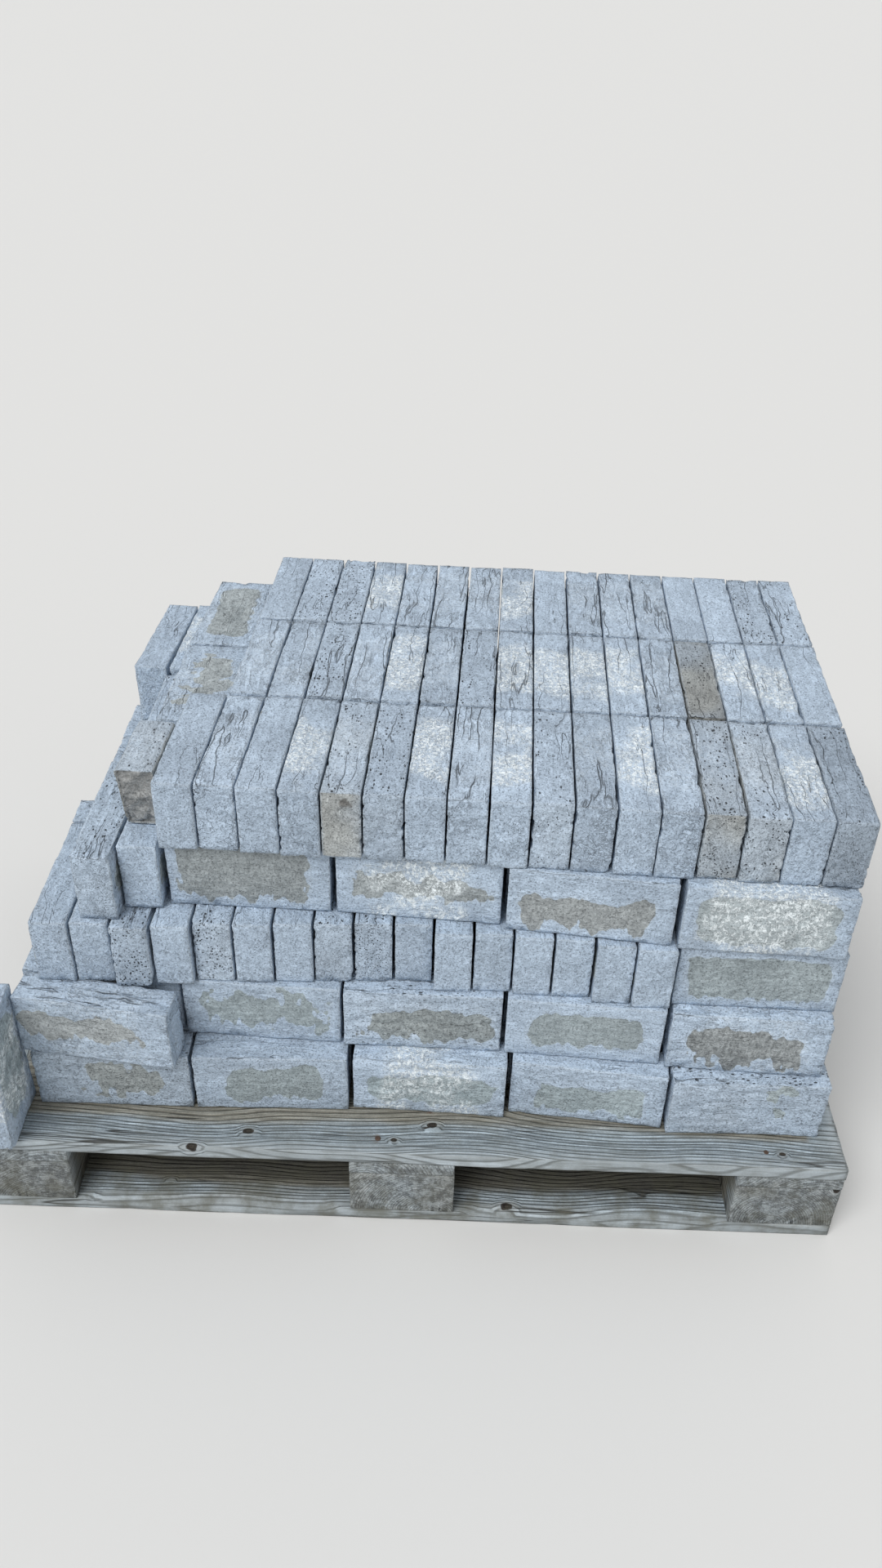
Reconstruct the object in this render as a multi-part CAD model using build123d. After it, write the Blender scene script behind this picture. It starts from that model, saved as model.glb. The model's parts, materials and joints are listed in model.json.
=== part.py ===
"""A loaded flat pallet: soft-moulded clay bricks stood on edge in five courses.

Units are millimetres. +X runs along the pallet's long side, to the right when
one faces it, +Y runs into its depth and +Z is up. The origin is the middle of
the pallet's underside, where it rests on the ground.
"""
from build123d import *
import math
import os
import random

# Wooden pallet
PALLET_LENGTH = 1200.0
PALLET_WIDTH = 800.0
BOARD_THICKNESS = 22.0
WIDE_BOARD = 145.0
NARROW_BOARD = 100.0
BLOCK_HEIGHT = 78.0
CORNER_CUT = 15.0
BOARD_ARRIS = 1.5

# Wheel bevels on the base boards' upper edges, between the blocks
BEVEL_DROP = 12.0
BEVEL_REACH = 16.0
BEVEL_RUN_OUT = 24.0
BEVEL_END_GAP = 5.0

# Soft-moulded brick
BRICK_LENGTH = 212.0
BRICK_WIDTH = 100.0
BRICK_THICKNESS = 50.0
BRICK_ARRIS = 4.0
# Each mould's shrinkage in the kiln, with how worn its arrises are
MOULD_RATIOS = ((0.000, 1.00), (0.006, 1.25), (0.010, 0.85), (0.014, 1.10))

# Joints: between the faces of bricks side by side, and between their ends
SIDE_JOINT = 1.2
END_JOINT = 3.5
LOOSE_END_JOINT = 5.0
BACK_LINE = 394.0

# Where the load ends at the right, and how far each course stays inside that
LOAD_RIGHT = 570.0
COURSE_2_STEP = 11.5
COURSE_3_STEP = 11.0
COURSE_4_STEP = 18.0
COURSE_5_STEP = 4.0

# The top course: three rows of headers, turned as one
FRONT_ROW_COUNT = 17
MIDDLE_ROW_COUNT = 16
BACK_ROW_COUNT = 16
COURSE_5_FRONT = -272.0
COURSE_5_TURN = -2.2
END_WANDER = 1.5

# Front faces of the stretchers that end each column, from the right, with turns
COURSE_1_FRONTS = ((-347, 0.5), (-331, -5.0), (-328, -2.5), (-331, 1.5), (-334, 0.2))
COURSE_2_FRONTS = ((-324, -2.5), (-310, -3.5), (-301, -0.9), (-293, -2.5))
COURSE_4_FRONTS = ((-308, -3.0), (-288, -6.0), (-263, -4.0), (-254, -1.7))
COURSE_3_COLUMN = (-303, -1.3)
# Front ends of the third course's headers, from the right, and the joints between them
COURSE_3_ENDS = (
    -309, -304, -296, -294, -290, -293, -277, -279,
    -281, -284, -290, -289, -298, -304, -296, -297,
)
COURSE_3_JOINT = 1.9
# How many of those headers the closing brick lies behind, and how many have none behind them
CLOSER_COUNT = 4
OPEN_COUNT = 1

# Headers at the left of the fourth course: a pair, one behind it, then a loose pair
HEADER_PAIR_ENDS = (-262, -286)
HEADER_PAIR_TURNS = (0.0, -0.5)
HEADER_PAIR_JOINT = 2.7
HEADER_SHIFT = 26.0
MIDDLE_HEADER_GAP = 2.0
BACK_HEADERS_GAP = 20.0
BACK_HEADERS_TURNS = (-2.2, -3.0)
BACK_HEADERS_JOINT = 4.4

# Loose bricks
SHIFTED_FRONT = -343.0
SHIFTED_TURN = -7.0
SHIFTED_GAP = 1.0
BAT_LENGTH = 120.0
BAT_BREAK_LEAN = 13.0
BAT_SETBACK = 20.0
FLAT_GAP = 6.0
FLAT_TURNS = (1.2, -1.2)
END_BRICK_GAP = 12.0
END_BRICK_OVERHANG = 16.0

# Heights
DECK_TOP = 3 * BOARD_THICKNESS + BLOCK_HEIGHT
STRINGER_BASE = BOARD_THICKNESS + BLOCK_HEIGHT
SIDE_PITCH = BRICK_THICKNESS + SIDE_JOINT
END_PITCH = BRICK_LENGTH + END_JOINT
LOOSE_END_PITCH = BRICK_LENGTH + LOOSE_END_JOINT

# Right-hand ends of the courses above the first
COURSE_2_RIGHT = LOAD_RIGHT - COURSE_2_STEP
COURSE_3_RIGHT = LOAD_RIGHT - COURSE_3_STEP
COURSE_4_RIGHT = LOAD_RIGHT - COURSE_4_STEP
COURSE_5_RIGHT = LOAD_RIGHT - COURSE_5_STEP

BASE = (Align.CENTER, Align.CENTER, Align.MIN)
chance = random.Random(7)


def course_base(number):
    """Height of the underside of a course, counted from 1."""
    return DECK_TOP + (number - 1) * BRICK_WIDTH


# Pallet

def lumber(along_x, along_y, height, x, y, z):
    """A board or block with softened edges, cut off where it meets a pallet corner."""
    piece = Pos(x, y, z) * Box(along_x, along_y, height, align=BASE)
    corner = Vector(PALLET_LENGTH / 2, PALLET_WIDTH / 2, 0)

    def at_corner(edge):
        middle = edge.center()
        return math.isclose(abs(middle.X), corner.X) and math.isclose(abs(middle.Y), corner.Y)

    cut = [edge for edge in piece.edges().filter_by(Axis.Z) if at_corner(edge)]
    if cut:
        piece = chamfer(cut, CORNER_CUT)
    long_way = Axis.X if along_x > along_y else Axis.Y
    return chamfer(piece.edges().filter_by(long_way), BOARD_ARRIS)


def wheel_bevel(start, end, edge, side):
    """What a bevel takes off a base board's edge: a sloped cut that runs out at both ends."""
    depth = BEVEL_DROP * BEVEL_REACH / math.hypot(BEVEL_DROP, BEVEL_REACH)
    profile = Polygon(
        (start + BEVEL_RUN_OUT, 0),
        (end - BEVEL_RUN_OUT, 0),
        (end + BEVEL_RUN_OUT, 2 * depth),
        (start - BEVEL_RUN_OUT, 2 * depth),
        align=None,
    )
    slope = Plane(
        origin=(0, edge - side * BEVEL_REACH, BOARD_THICKNESS),
        x_dir=(1, 0, 0),
        z_dir=(0, -BEVEL_REACH, side * BEVEL_DROP),
    )
    return extrude(slope * profile, amount=2 * BEVEL_REACH, both=True)


def base_board(width, y, column_centres):
    """A base board, bevelled along both upper edges in each bay between the blocks."""
    board = lumber(PALLET_LENGTH, width, BOARD_THICKNESS, 0, y, 0)
    for left, right in zip(column_centres, column_centres[1:]):
        start = left + WIDE_BOARD / 2 + BEVEL_END_GAP
        end = right - WIDE_BOARD / 2 - BEVEL_END_GAP
        for side in (-1, 1):
            board -= wheel_bevel(start, end, y + side * width / 2, side)
    return board


def spread(widths, total):
    """Centres of pieces of the given widths, spread evenly over a total width."""
    gap = (total - sum(widths)) / (len(widths) - 1)
    centres = []
    start = -total / 2
    for width in widths:
        centres.append(start + width / 2)
        start += width + gap
    return centres


def pallet():
    """Deck boards over stringer boards over blocks over base boards."""
    pieces = {}
    deck_widths = (WIDE_BOARD, NARROW_BOARD, WIDE_BOARD, NARROW_BOARD, WIDE_BOARD)
    deck_names = ("front", "front_inner", "middle", "back_inner", "back")
    for name, width, y in zip(deck_names, deck_widths, spread(deck_widths, PALLET_WIDTH)):
        board = lumber(PALLET_LENGTH, width, BOARD_THICKNESS, 0, y, STRINGER_BASE + BOARD_THICKNESS)
        pieces["deck_board_" + name] = board

    column_names = ("left", "middle", "right")
    column_centres = spread([WIDE_BOARD] * len(column_names), PALLET_LENGTH)
    row_widths = (NARROW_BOARD, WIDE_BOARD, NARROW_BOARD)
    rows = list(zip(("front", "middle", "back"), row_widths, spread(row_widths, PALLET_WIDTH)))
    for column, x in zip(column_names, column_centres):
        stringer = lumber(WIDE_BOARD, PALLET_WIDTH, BOARD_THICKNESS, x, 0, STRINGER_BASE)
        pieces["stringer_board_" + column] = stringer
        for row, width, y in rows:
            block = lumber(WIDE_BOARD, width, BLOCK_HEIGHT, x, y, BOARD_THICKNESS)
            pieces["block_" + column + "_" + row] = block
    for row, width, y in rows:
        pieces["base_board_" + row] = base_board(width, y, column_centres)
    return pieces


# Bricks

def moulded_brick(shrinkage, arris):
    """A brick on its long narrow face, a little smaller than its mould, with worn arrises."""
    length = BRICK_LENGTH * (1 - shrinkage)
    thickness = BRICK_THICKNESS * (1 - shrinkage)
    block = Box(length, thickness, BRICK_WIDTH, align=BASE)
    return chamfer(block.edges(), arris)


BRICKS = [moulded_brick(shrinkage, BRICK_ARRIS * wear) for shrinkage, wear in MOULD_RATIOS]


def stretcher(x, front, z, turn=0.0):
    """A brick along X, with the middle of its front face at x and front."""
    seat = Pos(x, front, z) * Rot(0, 0, turn) * Pos(0, BRICK_THICKNESS / 2, 0)
    return seat * chance.choice(BRICKS)


def header(x, front, z, turn=0.0):
    """A brick along Y, with the middle of its front end at x and front."""
    seat = Pos(x, front, z) * Rot(0, 0, turn) * Pos(0, BRICK_LENGTH / 2, 0) * Rot(0, 0, 90)
    return seat * chance.choice(BRICKS)


def column_behind(x, front, z):
    """Stretchers one behind the other from a front line to the back of the load."""
    room = BACK_LINE - front
    count = int(room // SIDE_PITCH)
    pitch = (room - BRICK_THICKNESS) / (count - 1)
    return [stretcher(x, front + place * pitch, z) for place in range(count)]


def turned_depth(turn):
    """How far behind the middle of its front face a turned stretcher reaches."""
    angle = math.radians(abs(turn))
    return BRICK_THICKNESS * math.cos(angle) + BRICK_LENGTH / 2 * math.sin(angle)


def stretcher_columns(right, fronts, z, end_pitch):
    """Columns from the right: each has its own front brick and an even file behind it."""
    faces = []
    files = []
    for place, (front, turn) in enumerate(fronts):
        x = right - BRICK_LENGTH / 2 - place * end_pitch
        faces.append(stretcher(x, front, z, turn))
        files += column_behind(x, front + turned_depth(turn) + SIDE_JOINT, z)
    return faces, files


def header_row(right, ends, z, pitch):
    """Headers side by side from the right, each with its own front end."""
    row = []
    for place, end in enumerate(ends):
        x = right - BRICK_THICKNESS / 2 - place * pitch
        row.append(header(x, end, z))
    return row


def course_1():
    z = course_base(1)
    faces, files = stretcher_columns(LOAD_RIGHT, COURSE_1_FRONTS, z, END_PITCH)
    return {"course_1_front_row": faces, "course_1_rows_behind": files}


def course_2():
    """Four full columns, and at the left a file whose front brick has slid forward."""
    z = course_base(2)
    faces, files = stretcher_columns(COURSE_2_RIGHT, COURSE_2_FRONTS, z, END_PITCH)
    x = COURSE_2_RIGHT - BRICK_LENGTH / 2 - len(COURSE_2_FRONTS) * END_PITCH
    shifted = stretcher(x, SHIFTED_FRONT, z, SHIFTED_TURN)
    file_front = SHIFTED_FRONT + turned_depth(SHIFTED_TURN) + SHIFTED_GAP
    files += column_behind(x, file_front, z)
    return {
        "course_2_front_row": faces,
        "course_2_rows_behind": files,
        "course_2_shifted_brick": [shifted],
    }


def course_3():
    """Headers in three rows, with a column of stretchers closing them at the right."""
    z = course_base(3)
    pitch = BRICK_THICKNESS + COURSE_3_JOINT
    front, turn = COURSE_3_COLUMN
    x = COURSE_3_RIGHT - BRICK_LENGTH / 2
    column = [stretcher(x, front, z, turn)]
    column += column_behind(x, front + turned_depth(turn) + SIDE_JOINT, z)
    row_right = COURSE_3_RIGHT - BRICK_LENGTH - END_JOINT
    front_row = header_row(row_right, COURSE_3_ENDS, z, pitch)

    closer_x = row_right - len(COURSE_3_ENDS) * pitch + BRICK_LENGTH / 2
    closer_front = max(COURSE_3_ENDS[-CLOSER_COUNT:]) + END_PITCH
    closer = stretcher(closer_x, closer_front, z)
    ends_behind_closer = [closer_front + SIDE_PITCH] * CLOSER_COUNT
    straight_count = len(COURSE_3_ENDS) - CLOSER_COUNT - OPEN_COUNT
    middle_ends = [max(COURSE_3_ENDS) + END_PITCH] * straight_count + ends_behind_closer
    back_ends = [end + END_PITCH for end in middle_ends]
    return {
        "course_3_front_row": front_row,
        "course_3_middle_row": header_row(row_right, middle_ends, z, pitch),
        "course_3_back_row": header_row(row_right, back_ends, z, pitch),
        "course_3_right_column": column,
        "course_3_closer": [closer],
    }


def course_4():
    """Four columns of stretchers, with short rows of headers at the left."""
    z = course_base(4)
    faces, files = stretcher_columns(COURSE_4_RIGHT, COURSE_4_FRONTS, z, LOOSE_END_PITCH)
    left = COURSE_4_RIGHT - len(COURSE_4_FRONTS) * LOOSE_END_PITCH
    first = left - SIDE_JOINT - BRICK_THICKNESS / 2
    front_pair = []
    for place, (end, turn) in enumerate(zip(HEADER_PAIR_ENDS, HEADER_PAIR_TURNS)):
        x = first - place * (BRICK_THICKNESS + HEADER_PAIR_JOINT)
        front_pair.append(header(x, end, z, turn))
    middle_end = max(HEADER_PAIR_ENDS) + BRICK_LENGTH + MIDDLE_HEADER_GAP
    middle = header(first - HEADER_SHIFT, middle_end, z)
    back_end = middle_end + BRICK_LENGTH + BACK_HEADERS_GAP
    back_pair = []
    for place, turn in enumerate(BACK_HEADERS_TURNS):
        x = first - HEADER_SHIFT - place * (BRICK_THICKNESS + BACK_HEADERS_JOINT)
        back_pair.append(header(x, back_end, z, turn))
    return {
        "course_4_front_row": faces,
        "course_4_rows_behind": files,
        "course_4_front_headers": front_pair,
        "course_4_middle_header": [middle],
        "course_4_back_headers": back_pair,
    }


def snapped_bat():
    """Half a brick on edge along Y, its broken end at the front and leaning outwards."""
    whole = Pos(0, BRICK_LENGTH / 2, 0) * Rot(0, 0, 90) * BRICKS[0]
    lean = BRICK_WIDTH * math.tan(math.radians(BAT_BREAK_LEAN))
    knife = Pos(0, BRICK_LENGTH - BAT_LENGTH + lean, 0) * Rot(BAT_BREAK_LEAN, 0, 0)
    waste = Box(
        2 * BRICK_THICKNESS, 2 * BRICK_LENGTH, 4 * BRICK_WIDTH,
        align=(Align.CENTER, Align.MAX, Align.CENTER),
    )
    return Pos(0, BAT_LENGTH - BRICK_LENGTH, 0) * (whole - knife * waste)


def flat_brick():
    """A brick on its bed face, along Y, centred on the middle of its underside."""
    lying = Pos(0, BRICK_WIDTH / 2, BRICK_THICKNESS / 2) * Rot(90, 0, 0) * BRICKS[0]
    return Rot(0, 0, 90) * lying


def brick_on_end():
    """A brick standing on its small end, bed faces to the sides."""
    upright = Rot(0, 0, 90) * Rot(0, -90, 0) * BRICKS[1]
    box = upright.bounding_box()
    return Pos(0, BRICK_WIDTH / 2, -box.min.Z) * upright


def course_5():
    """Three rows of headers, a bat and two flat bricks, turned together on the load."""
    z = course_base(5)
    whole_turn = Rot(0, 0, COURSE_5_TURN)
    rows = (("front", FRONT_ROW_COUNT), ("middle", MIDDLE_ROW_COUNT), ("back", BACK_ROW_COUNT))
    nodes = {}
    for place, (name, count) in enumerate(rows):
        end = COURSE_5_FRONT + place * LOOSE_END_PITCH
        ends = [end + chance.uniform(-END_WANDER, END_WANDER) for _ in range(count)]
        row = header_row(COURSE_5_RIGHT, ends, z, SIDE_PITCH)
        nodes["course_5_" + name + "_row"] = [whole_turn * brick for brick in row]

    front_left = COURSE_5_RIGHT - FRONT_ROW_COUNT * SIDE_PITCH
    bat_seat = Pos(front_left - BRICK_THICKNESS / 2, COURSE_5_FRONT + BAT_SETBACK, z)
    nodes["snapped_bat"] = [whole_turn * bat_seat * snapped_bat()]
    for place, turn in enumerate(FLAT_TURNS, start=1):
        name, count = rows[place]
        left = COURSE_5_RIGHT - count * SIDE_PITCH - FLAT_GAP
        middle = COURSE_5_FRONT + place * LOOSE_END_PITCH + BRICK_LENGTH / 2
        seat = Pos(left - BRICK_WIDTH / 2, middle, z) * Rot(0, 0, turn)
        nodes["flat_brick_" + name] = [whole_turn * seat * flat_brick()]
    return nodes


def standing_brick():
    """The brick on its end beside the first course, reaching past the deck's front edge."""
    columns = len(COURSE_1_FRONTS)
    left = LOAD_RIGHT - columns * END_PITCH + END_JOINT
    x = left - END_BRICK_GAP - BRICK_THICKNESS / 2
    y = -PALLET_WIDTH / 2 - END_BRICK_OVERHANG + BRICK_WIDTH / 2
    return {"brick_on_end": [Pos(x, y, DECK_TOP) * brick_on_end()]}


def write(name, solids):
    """Writes a node: one piece, or the like pieces that share it."""
    shape = solids[0] if len(solids) == 1 else Compound(solids)
    export_step(shape, "parts/" + name + ".step")


def main():
    os.makedirs("parts", exist_ok=True)
    for name, piece in pallet().items():
        write(name, [piece])
    for group in (course_1, course_2, course_3, course_4, course_5, standing_brick):
        for name, bricks in group().items():
            write(name, bricks)


if __name__ == "__main__":
    main()
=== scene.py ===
# %% [markdown]
# # A pallet of soft-moulded bricks
#
# The load is some three hundred clay bricks stood on edge on a weathered wooden pallet. The packed
# model already holds every brick and board at its real size and place. What is missing is all that
# makes them look fired, handled and rained on: worn arrises, folds in the clay, pits, white bloom,
# the damp-looking patches where bricks lay against each other, and grey ridged wood with rusty nails.

import itertools
import json
import math

import bmesh
import bpy
import numpy as np
from mathutils import Matrix, Vector

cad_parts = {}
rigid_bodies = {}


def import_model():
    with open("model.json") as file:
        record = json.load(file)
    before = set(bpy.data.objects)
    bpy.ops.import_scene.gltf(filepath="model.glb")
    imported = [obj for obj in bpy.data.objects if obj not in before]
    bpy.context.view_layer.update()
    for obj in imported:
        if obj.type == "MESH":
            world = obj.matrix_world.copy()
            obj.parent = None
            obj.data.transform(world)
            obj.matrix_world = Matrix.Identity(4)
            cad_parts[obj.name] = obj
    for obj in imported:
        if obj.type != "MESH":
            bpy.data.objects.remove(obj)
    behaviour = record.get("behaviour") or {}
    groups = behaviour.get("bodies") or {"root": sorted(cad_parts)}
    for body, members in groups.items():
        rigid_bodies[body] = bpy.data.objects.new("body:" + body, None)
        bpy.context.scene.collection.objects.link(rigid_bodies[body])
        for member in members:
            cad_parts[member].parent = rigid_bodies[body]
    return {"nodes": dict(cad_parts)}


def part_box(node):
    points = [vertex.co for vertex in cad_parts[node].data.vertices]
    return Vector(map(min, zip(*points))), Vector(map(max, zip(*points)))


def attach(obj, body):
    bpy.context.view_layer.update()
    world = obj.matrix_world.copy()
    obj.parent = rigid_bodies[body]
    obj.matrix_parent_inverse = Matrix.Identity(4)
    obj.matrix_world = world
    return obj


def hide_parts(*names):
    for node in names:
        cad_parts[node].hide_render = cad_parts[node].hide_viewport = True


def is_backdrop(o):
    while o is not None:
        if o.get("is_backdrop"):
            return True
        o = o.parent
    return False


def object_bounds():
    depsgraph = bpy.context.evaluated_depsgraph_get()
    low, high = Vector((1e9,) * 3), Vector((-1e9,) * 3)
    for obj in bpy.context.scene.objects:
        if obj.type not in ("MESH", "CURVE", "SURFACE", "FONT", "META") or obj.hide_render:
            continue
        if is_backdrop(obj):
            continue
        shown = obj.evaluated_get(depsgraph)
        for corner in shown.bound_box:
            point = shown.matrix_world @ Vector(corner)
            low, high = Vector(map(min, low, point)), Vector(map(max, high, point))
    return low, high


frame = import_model()
bpy.context.view_layer.update()
cad_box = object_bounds()
print(len(frame["nodes"]), "nodes, box", [tuple(round(v, 3) for v in corner) for corner in cad_box])

# %% [markdown]
# ## A short way to write node trees
#
# Materials and Geometry Nodes are both graphs of nodes. Writing each node and each link by hand is
# long and hard to read, so a small class keeps the tree and adds one node per call. What a node puts
# out is a wire, and wires can be added and multiplied like numbers, so sums read like formulas.

# %% A helper that writes nodes
def operator(operation, swapped=False):
    """What a wire does for one of Python's operators."""
    def work_out(*values):
        return values[0].graph.work_out(operation, *(reversed(values) if swapped else values))
    return work_out


class Wire:
    """One thing that a node puts out. A sum with wires in it adds the nodes that work it out."""

    def __init__(self, graph, socket):
        self.graph, self.socket = graph, socket

    __abs__ = operator("ABSOLUTE")
    __add__, __radd__ = operator("ADD"), operator("ADD", swapped=True)
    __sub__, __rsub__ = operator("SUBTRACT"), operator("SUBTRACT", swapped=True)
    __mul__, __rmul__ = operator("MULTIPLY"), operator("MULTIPLY", swapped=True)
    __truediv__ = operator("DIVIDE")

    def clamped(self):
        """Keeps what the wire carries between 0 and 1."""
        self.socket.node.use_clamp = True
        return self


class Outputs:
    """All that a node puts out, by name or number."""

    def __init__(self, graph, sockets):
        self.graph, self.sockets = graph, sockets

    def __getitem__(self, key):
        return Wire(self.graph, self.sockets[key])


def is_vector(value):
    return value.socket.type in ("VECTOR", "RGBA") if isinstance(value, Wire) else isinstance(value, tuple)


print("wires ready")

# %% A graph of nodes
class Graph:
    """A node tree being written. Each call adds a node and gives back what it puts out."""

    def __init__(self, tree):
        self.tree = tree

    def node(self, kind, inputs=None, **settings):
        """Adds a node. An input takes a plain value, a wire, or another node for its first output."""
        made = self.tree.nodes.new(kind)
        for name, value in settings.items():
            setattr(made, name, value)
        for name, value in (inputs or {}).items():
            value = value[0] if isinstance(value, Outputs) else value
            if isinstance(value, Wire):
                self.tree.links.new(value.socket, made.inputs[name])
            else:
                made.inputs[name].default_value = value
        return Outputs(self, made.outputs)

    def math(self, operation, *values):
        return self.node("ShaderNodeMath", dict(enumerate(values)), operation=operation)[0]

    def vector(self, operation, *values):
        inputs = dict(enumerate(values))
        if operation == "SCALE":
            inputs["Scale"] = inputs.pop(1)
        is_number = operation in ("LENGTH", "DISTANCE", "DOT_PRODUCT")
        made = self.node("ShaderNodeVectorMath", inputs, operation=operation)
        return made["Value" if is_number else "Vector"]

    def work_out(self, operation, *values):
        """A sum is one of numbers, unless a vector, a colour or a tuple is in it."""
        vectors = [value for value in values if is_vector(value)]
        if not vectors:
            return self.math(operation, *values)
        if operation == "MULTIPLY" and len(vectors) == 1:
            return self.vector("SCALE", *sorted(values, key=is_vector, reverse=True))
        return self.vector(operation, *values)

    def noise(self, place, scale, detail=2.0, seed=0.0, roughness=0.5, distortion=0.0):
        """Noise between 0 and 1. Three scales stretch it, and a plain number as seed shifts its place."""
        if isinstance(scale, tuple):
            place, scale = place * scale, 1.0
        inputs = {"Scale": scale, "Detail": detail, "Roughness": roughness, "Distortion": distortion}
        if isinstance(seed, Wire):
            inputs.update({"Vector": place, "W": seed})
            return self.node("ShaderNodeTexNoise", inputs, noise_dimensions="4D")[0]
        inputs["Vector"] = place + (seed * 3.1, seed * -5.7, seed * 7.3) if seed else place
        return self.node("ShaderNodeTexNoise", inputs)[0]

    def ramp(self, value, low, high, start=0.0, end=1.0):
        """Takes a value from low to high smoothly over to start to end."""
        inputs = {"Value": value, "From Min": low, "From Max": high, "To Min": start, "To Max": end}
        return self.node("ShaderNodeMapRange", inputs, interpolation_type="SMOOTHSTEP")[0]

    def mix(self, share, first, second):
        return self.node("ShaderNodeMix", {0: share, 6: first, 7: second}, data_type="RGBA")[2]

    def split(self, vector):
        return self.node("ShaderNodeSeparateXYZ", {0: vector})

    def join(self, x, y, z):
        return self.node("ShaderNodeCombineXYZ", {0: x, 1: y, 2: z})[0]

    def group(self, tree, inputs):
        return self.node("ShaderNodeGroup", inputs, node_tree=tree)


def new_group(name, kind, inputs, outputs):
    """A node group, the graph that writes it, and what comes in. An input is stated by kind or value."""
    tree = bpy.data.node_groups.new(name, kind + "NodeTree")
    for title, socket_kind in outputs.items():
        tree.interface.new_socket(title, in_out="OUTPUT", socket_type="NodeSocket" + socket_kind)
    for title, value in inputs.items():
        is_kind = isinstance(value, str)
        socket_kind = value if is_kind else {float: "Float", int: "Int"}.get(type(value), "Vector")
        socket = tree.interface.new_socket(title, in_out="INPUT", socket_type="NodeSocket" + socket_kind)
        if not is_kind:
            socket.default_value = value
    graph = Graph(tree)
    return tree, graph, graph.node("NodeGroupInput")


print("graph helper ready")

# %% [markdown]
# ## Where the bricks are
#
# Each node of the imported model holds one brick, or a row of bricks that don't touch. To give every
# brick its own wear, its solid is found first by walking from face to face, and then its middle, its
# three axes and its size are read from the directions of its largest faces: a brick's bed faces are
# larger than its long sides, and those are larger than its ends.

# %% Split a node into its solids
SAME_COLUMN, JOIN_DISTANCE = 0.02, 1e-5


def left_to_right(solid):
    """Sorts solids from left to right, and those of one column from front to back."""
    x, y, _ = solid[0].mean(0)
    return round(x / SAME_COLUMN), y


def joined(node):
    """A CAD node's mesh to work on, with its loose triangles joined."""
    work = bmesh.new()
    work.from_mesh(frame["nodes"][node].data)
    bmesh.ops.remove_doubles(work, verts=work.verts, dist=JOIN_DISTANCE)
    return work


def solids_of(node):
    """Each separate solid of a CAD node, as its corner points, face normals and face areas."""
    work = joined(node)
    waiting = set(work.faces)
    found = []
    while waiting:
        group, edge_of_group = [], [waiting.pop()]
        while edge_of_group:
            face = edge_of_group.pop()
            group.append(face)
            for near in {other for edge in face.edges for other in edge.link_faces}:
                if near in waiting:
                    waiting.remove(near)
                    edge_of_group.append(near)
        corners = {corner for face in group for corner in face.verts}
        points = np.array(sorted(tuple(corner.co) for corner in corners))
        normals = np.array([face.normal for face in group])
        areas = np.array([face.calc_area() for face in group])
        found.append((points, normals, areas))
    work.free()
    return sorted(found, key=left_to_right)


print(len(solids_of("course_3_front_row")), "headers in the third course's front row")

# %% Read a brick's seat
PARALLEL, SQUARE = 0.999, 0.01
PALLET_KINDS = ("deck", "base", "stringer", "block")


def seat_of(points, normals, areas):
    """A brick's middle, size and axes: length, thickness (across its bed faces) and width."""
    directions = []
    for normal, area in zip(normals, areas):
        for known in directions:
            if abs(known[1] @ normal) > PARALLEL:
                known[0] += area
                break
        else:
            directions.append([area, normal])
    directions.sort(key=lambda known: -known[0])
    across = directions[0][1]
    upward = next(d for _, d in directions[1:] if abs(d @ across) < SQUARE)
    across, upward = (-way if max(way, key=abs) < 0 else way for way in (across, upward))
    axes = np.array([np.cross(across, upward), across, upward])
    along = points @ axes.T
    low, high = along.min(0), along.max(0)
    return {"middle": (low + high) / 2 @ axes, "size": high - low, "axes": axes}


brick_nodes = sorted(name for name in frame["nodes"] if not name.startswith(PALLET_KINDS))
bricks = {node: [seat_of(*solid) for solid in solids_of(node)] for node in brick_nodes}
print(sum(len(seats) for seats in bricks.values()), "bricks in", len(bricks), "nodes")

# %% [markdown]
# ## Which bricks can be seen
#
# About a quarter of the load is buried. A buried brick needs no folds or worn arrises, so each brick
# is tested: points are set just outside each of its faces, and if one of them is in no other brick
# and not under the deck, the brick is exposed and gets the detailed shape.

# %% Find the buried bricks
PROBE_DISTANCE, COVER_REACH = 0.009, 0.002
PROBE_PLACES = (-0.35, 0.0, 0.35)

deck_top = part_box("deck_board_front")[1].z
everything = [seat for seats in bricks.values() for seat in seats]
middles = np.array([seat["middle"] for seat in everything])
half_sizes = np.array([seat["size"] for seat in everything]) / 2 + COVER_REACH
all_axes = np.array([seat["axes"] for seat in everything])


def is_exposed(seat):
    """Whether any place just outside a brick's faces is free."""
    probes = []
    for side, sign, *across in itertools.product(range(3), (-1, 1), PROBE_PLACES, PROBE_PLACES):
        outside = sign * (seat["size"][side] / 2 + PROBE_DISTANCE)
        place = np.insert(np.array(across) * np.delete(seat["size"], side), side, outside)
        probes.append(seat["middle"] + place @ seat["axes"])
    probes = np.array([probe for probe in probes if probe[2] > deck_top])
    offsets = probes[:, None] - middles[None]
    local = np.einsum("pbk,bak->pba", offsets, all_axes)
    covered = (np.abs(local) < half_sizes[None]).all(2).any(1)
    return not covered.all()


for seat in everything:
    seat["exposed"] = is_exposed(seat)
print(sum(seat["exposed"] for seat in everything), "exposed bricks of", len(everything))

# %% [markdown]
# ## The moulds
#
# A soft-moulded brick is a lump of wet clay thrown into a wooden box. Its arrises are uneven, its
# faces are slightly bowed, and the clay folds over itself in long creases. That shape follows a
# rule, so one Geometry Nodes tree makes it from a few sizes and a seed: a box of small quads,
# rounded at its arrises, then pushed inwards by waves and folds. Only inwards, so that no brick
# grows past its solid or into its neighbour. Twenty seeds give twenty moulds, and each brick is
# also turned end for end or upside down, so no two neighbours look the same.

# %% Write the tree that moulds a brick
BRICK_SIZE = Vector(np.median([seat["size"] for seat in everything], axis=0))


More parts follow.
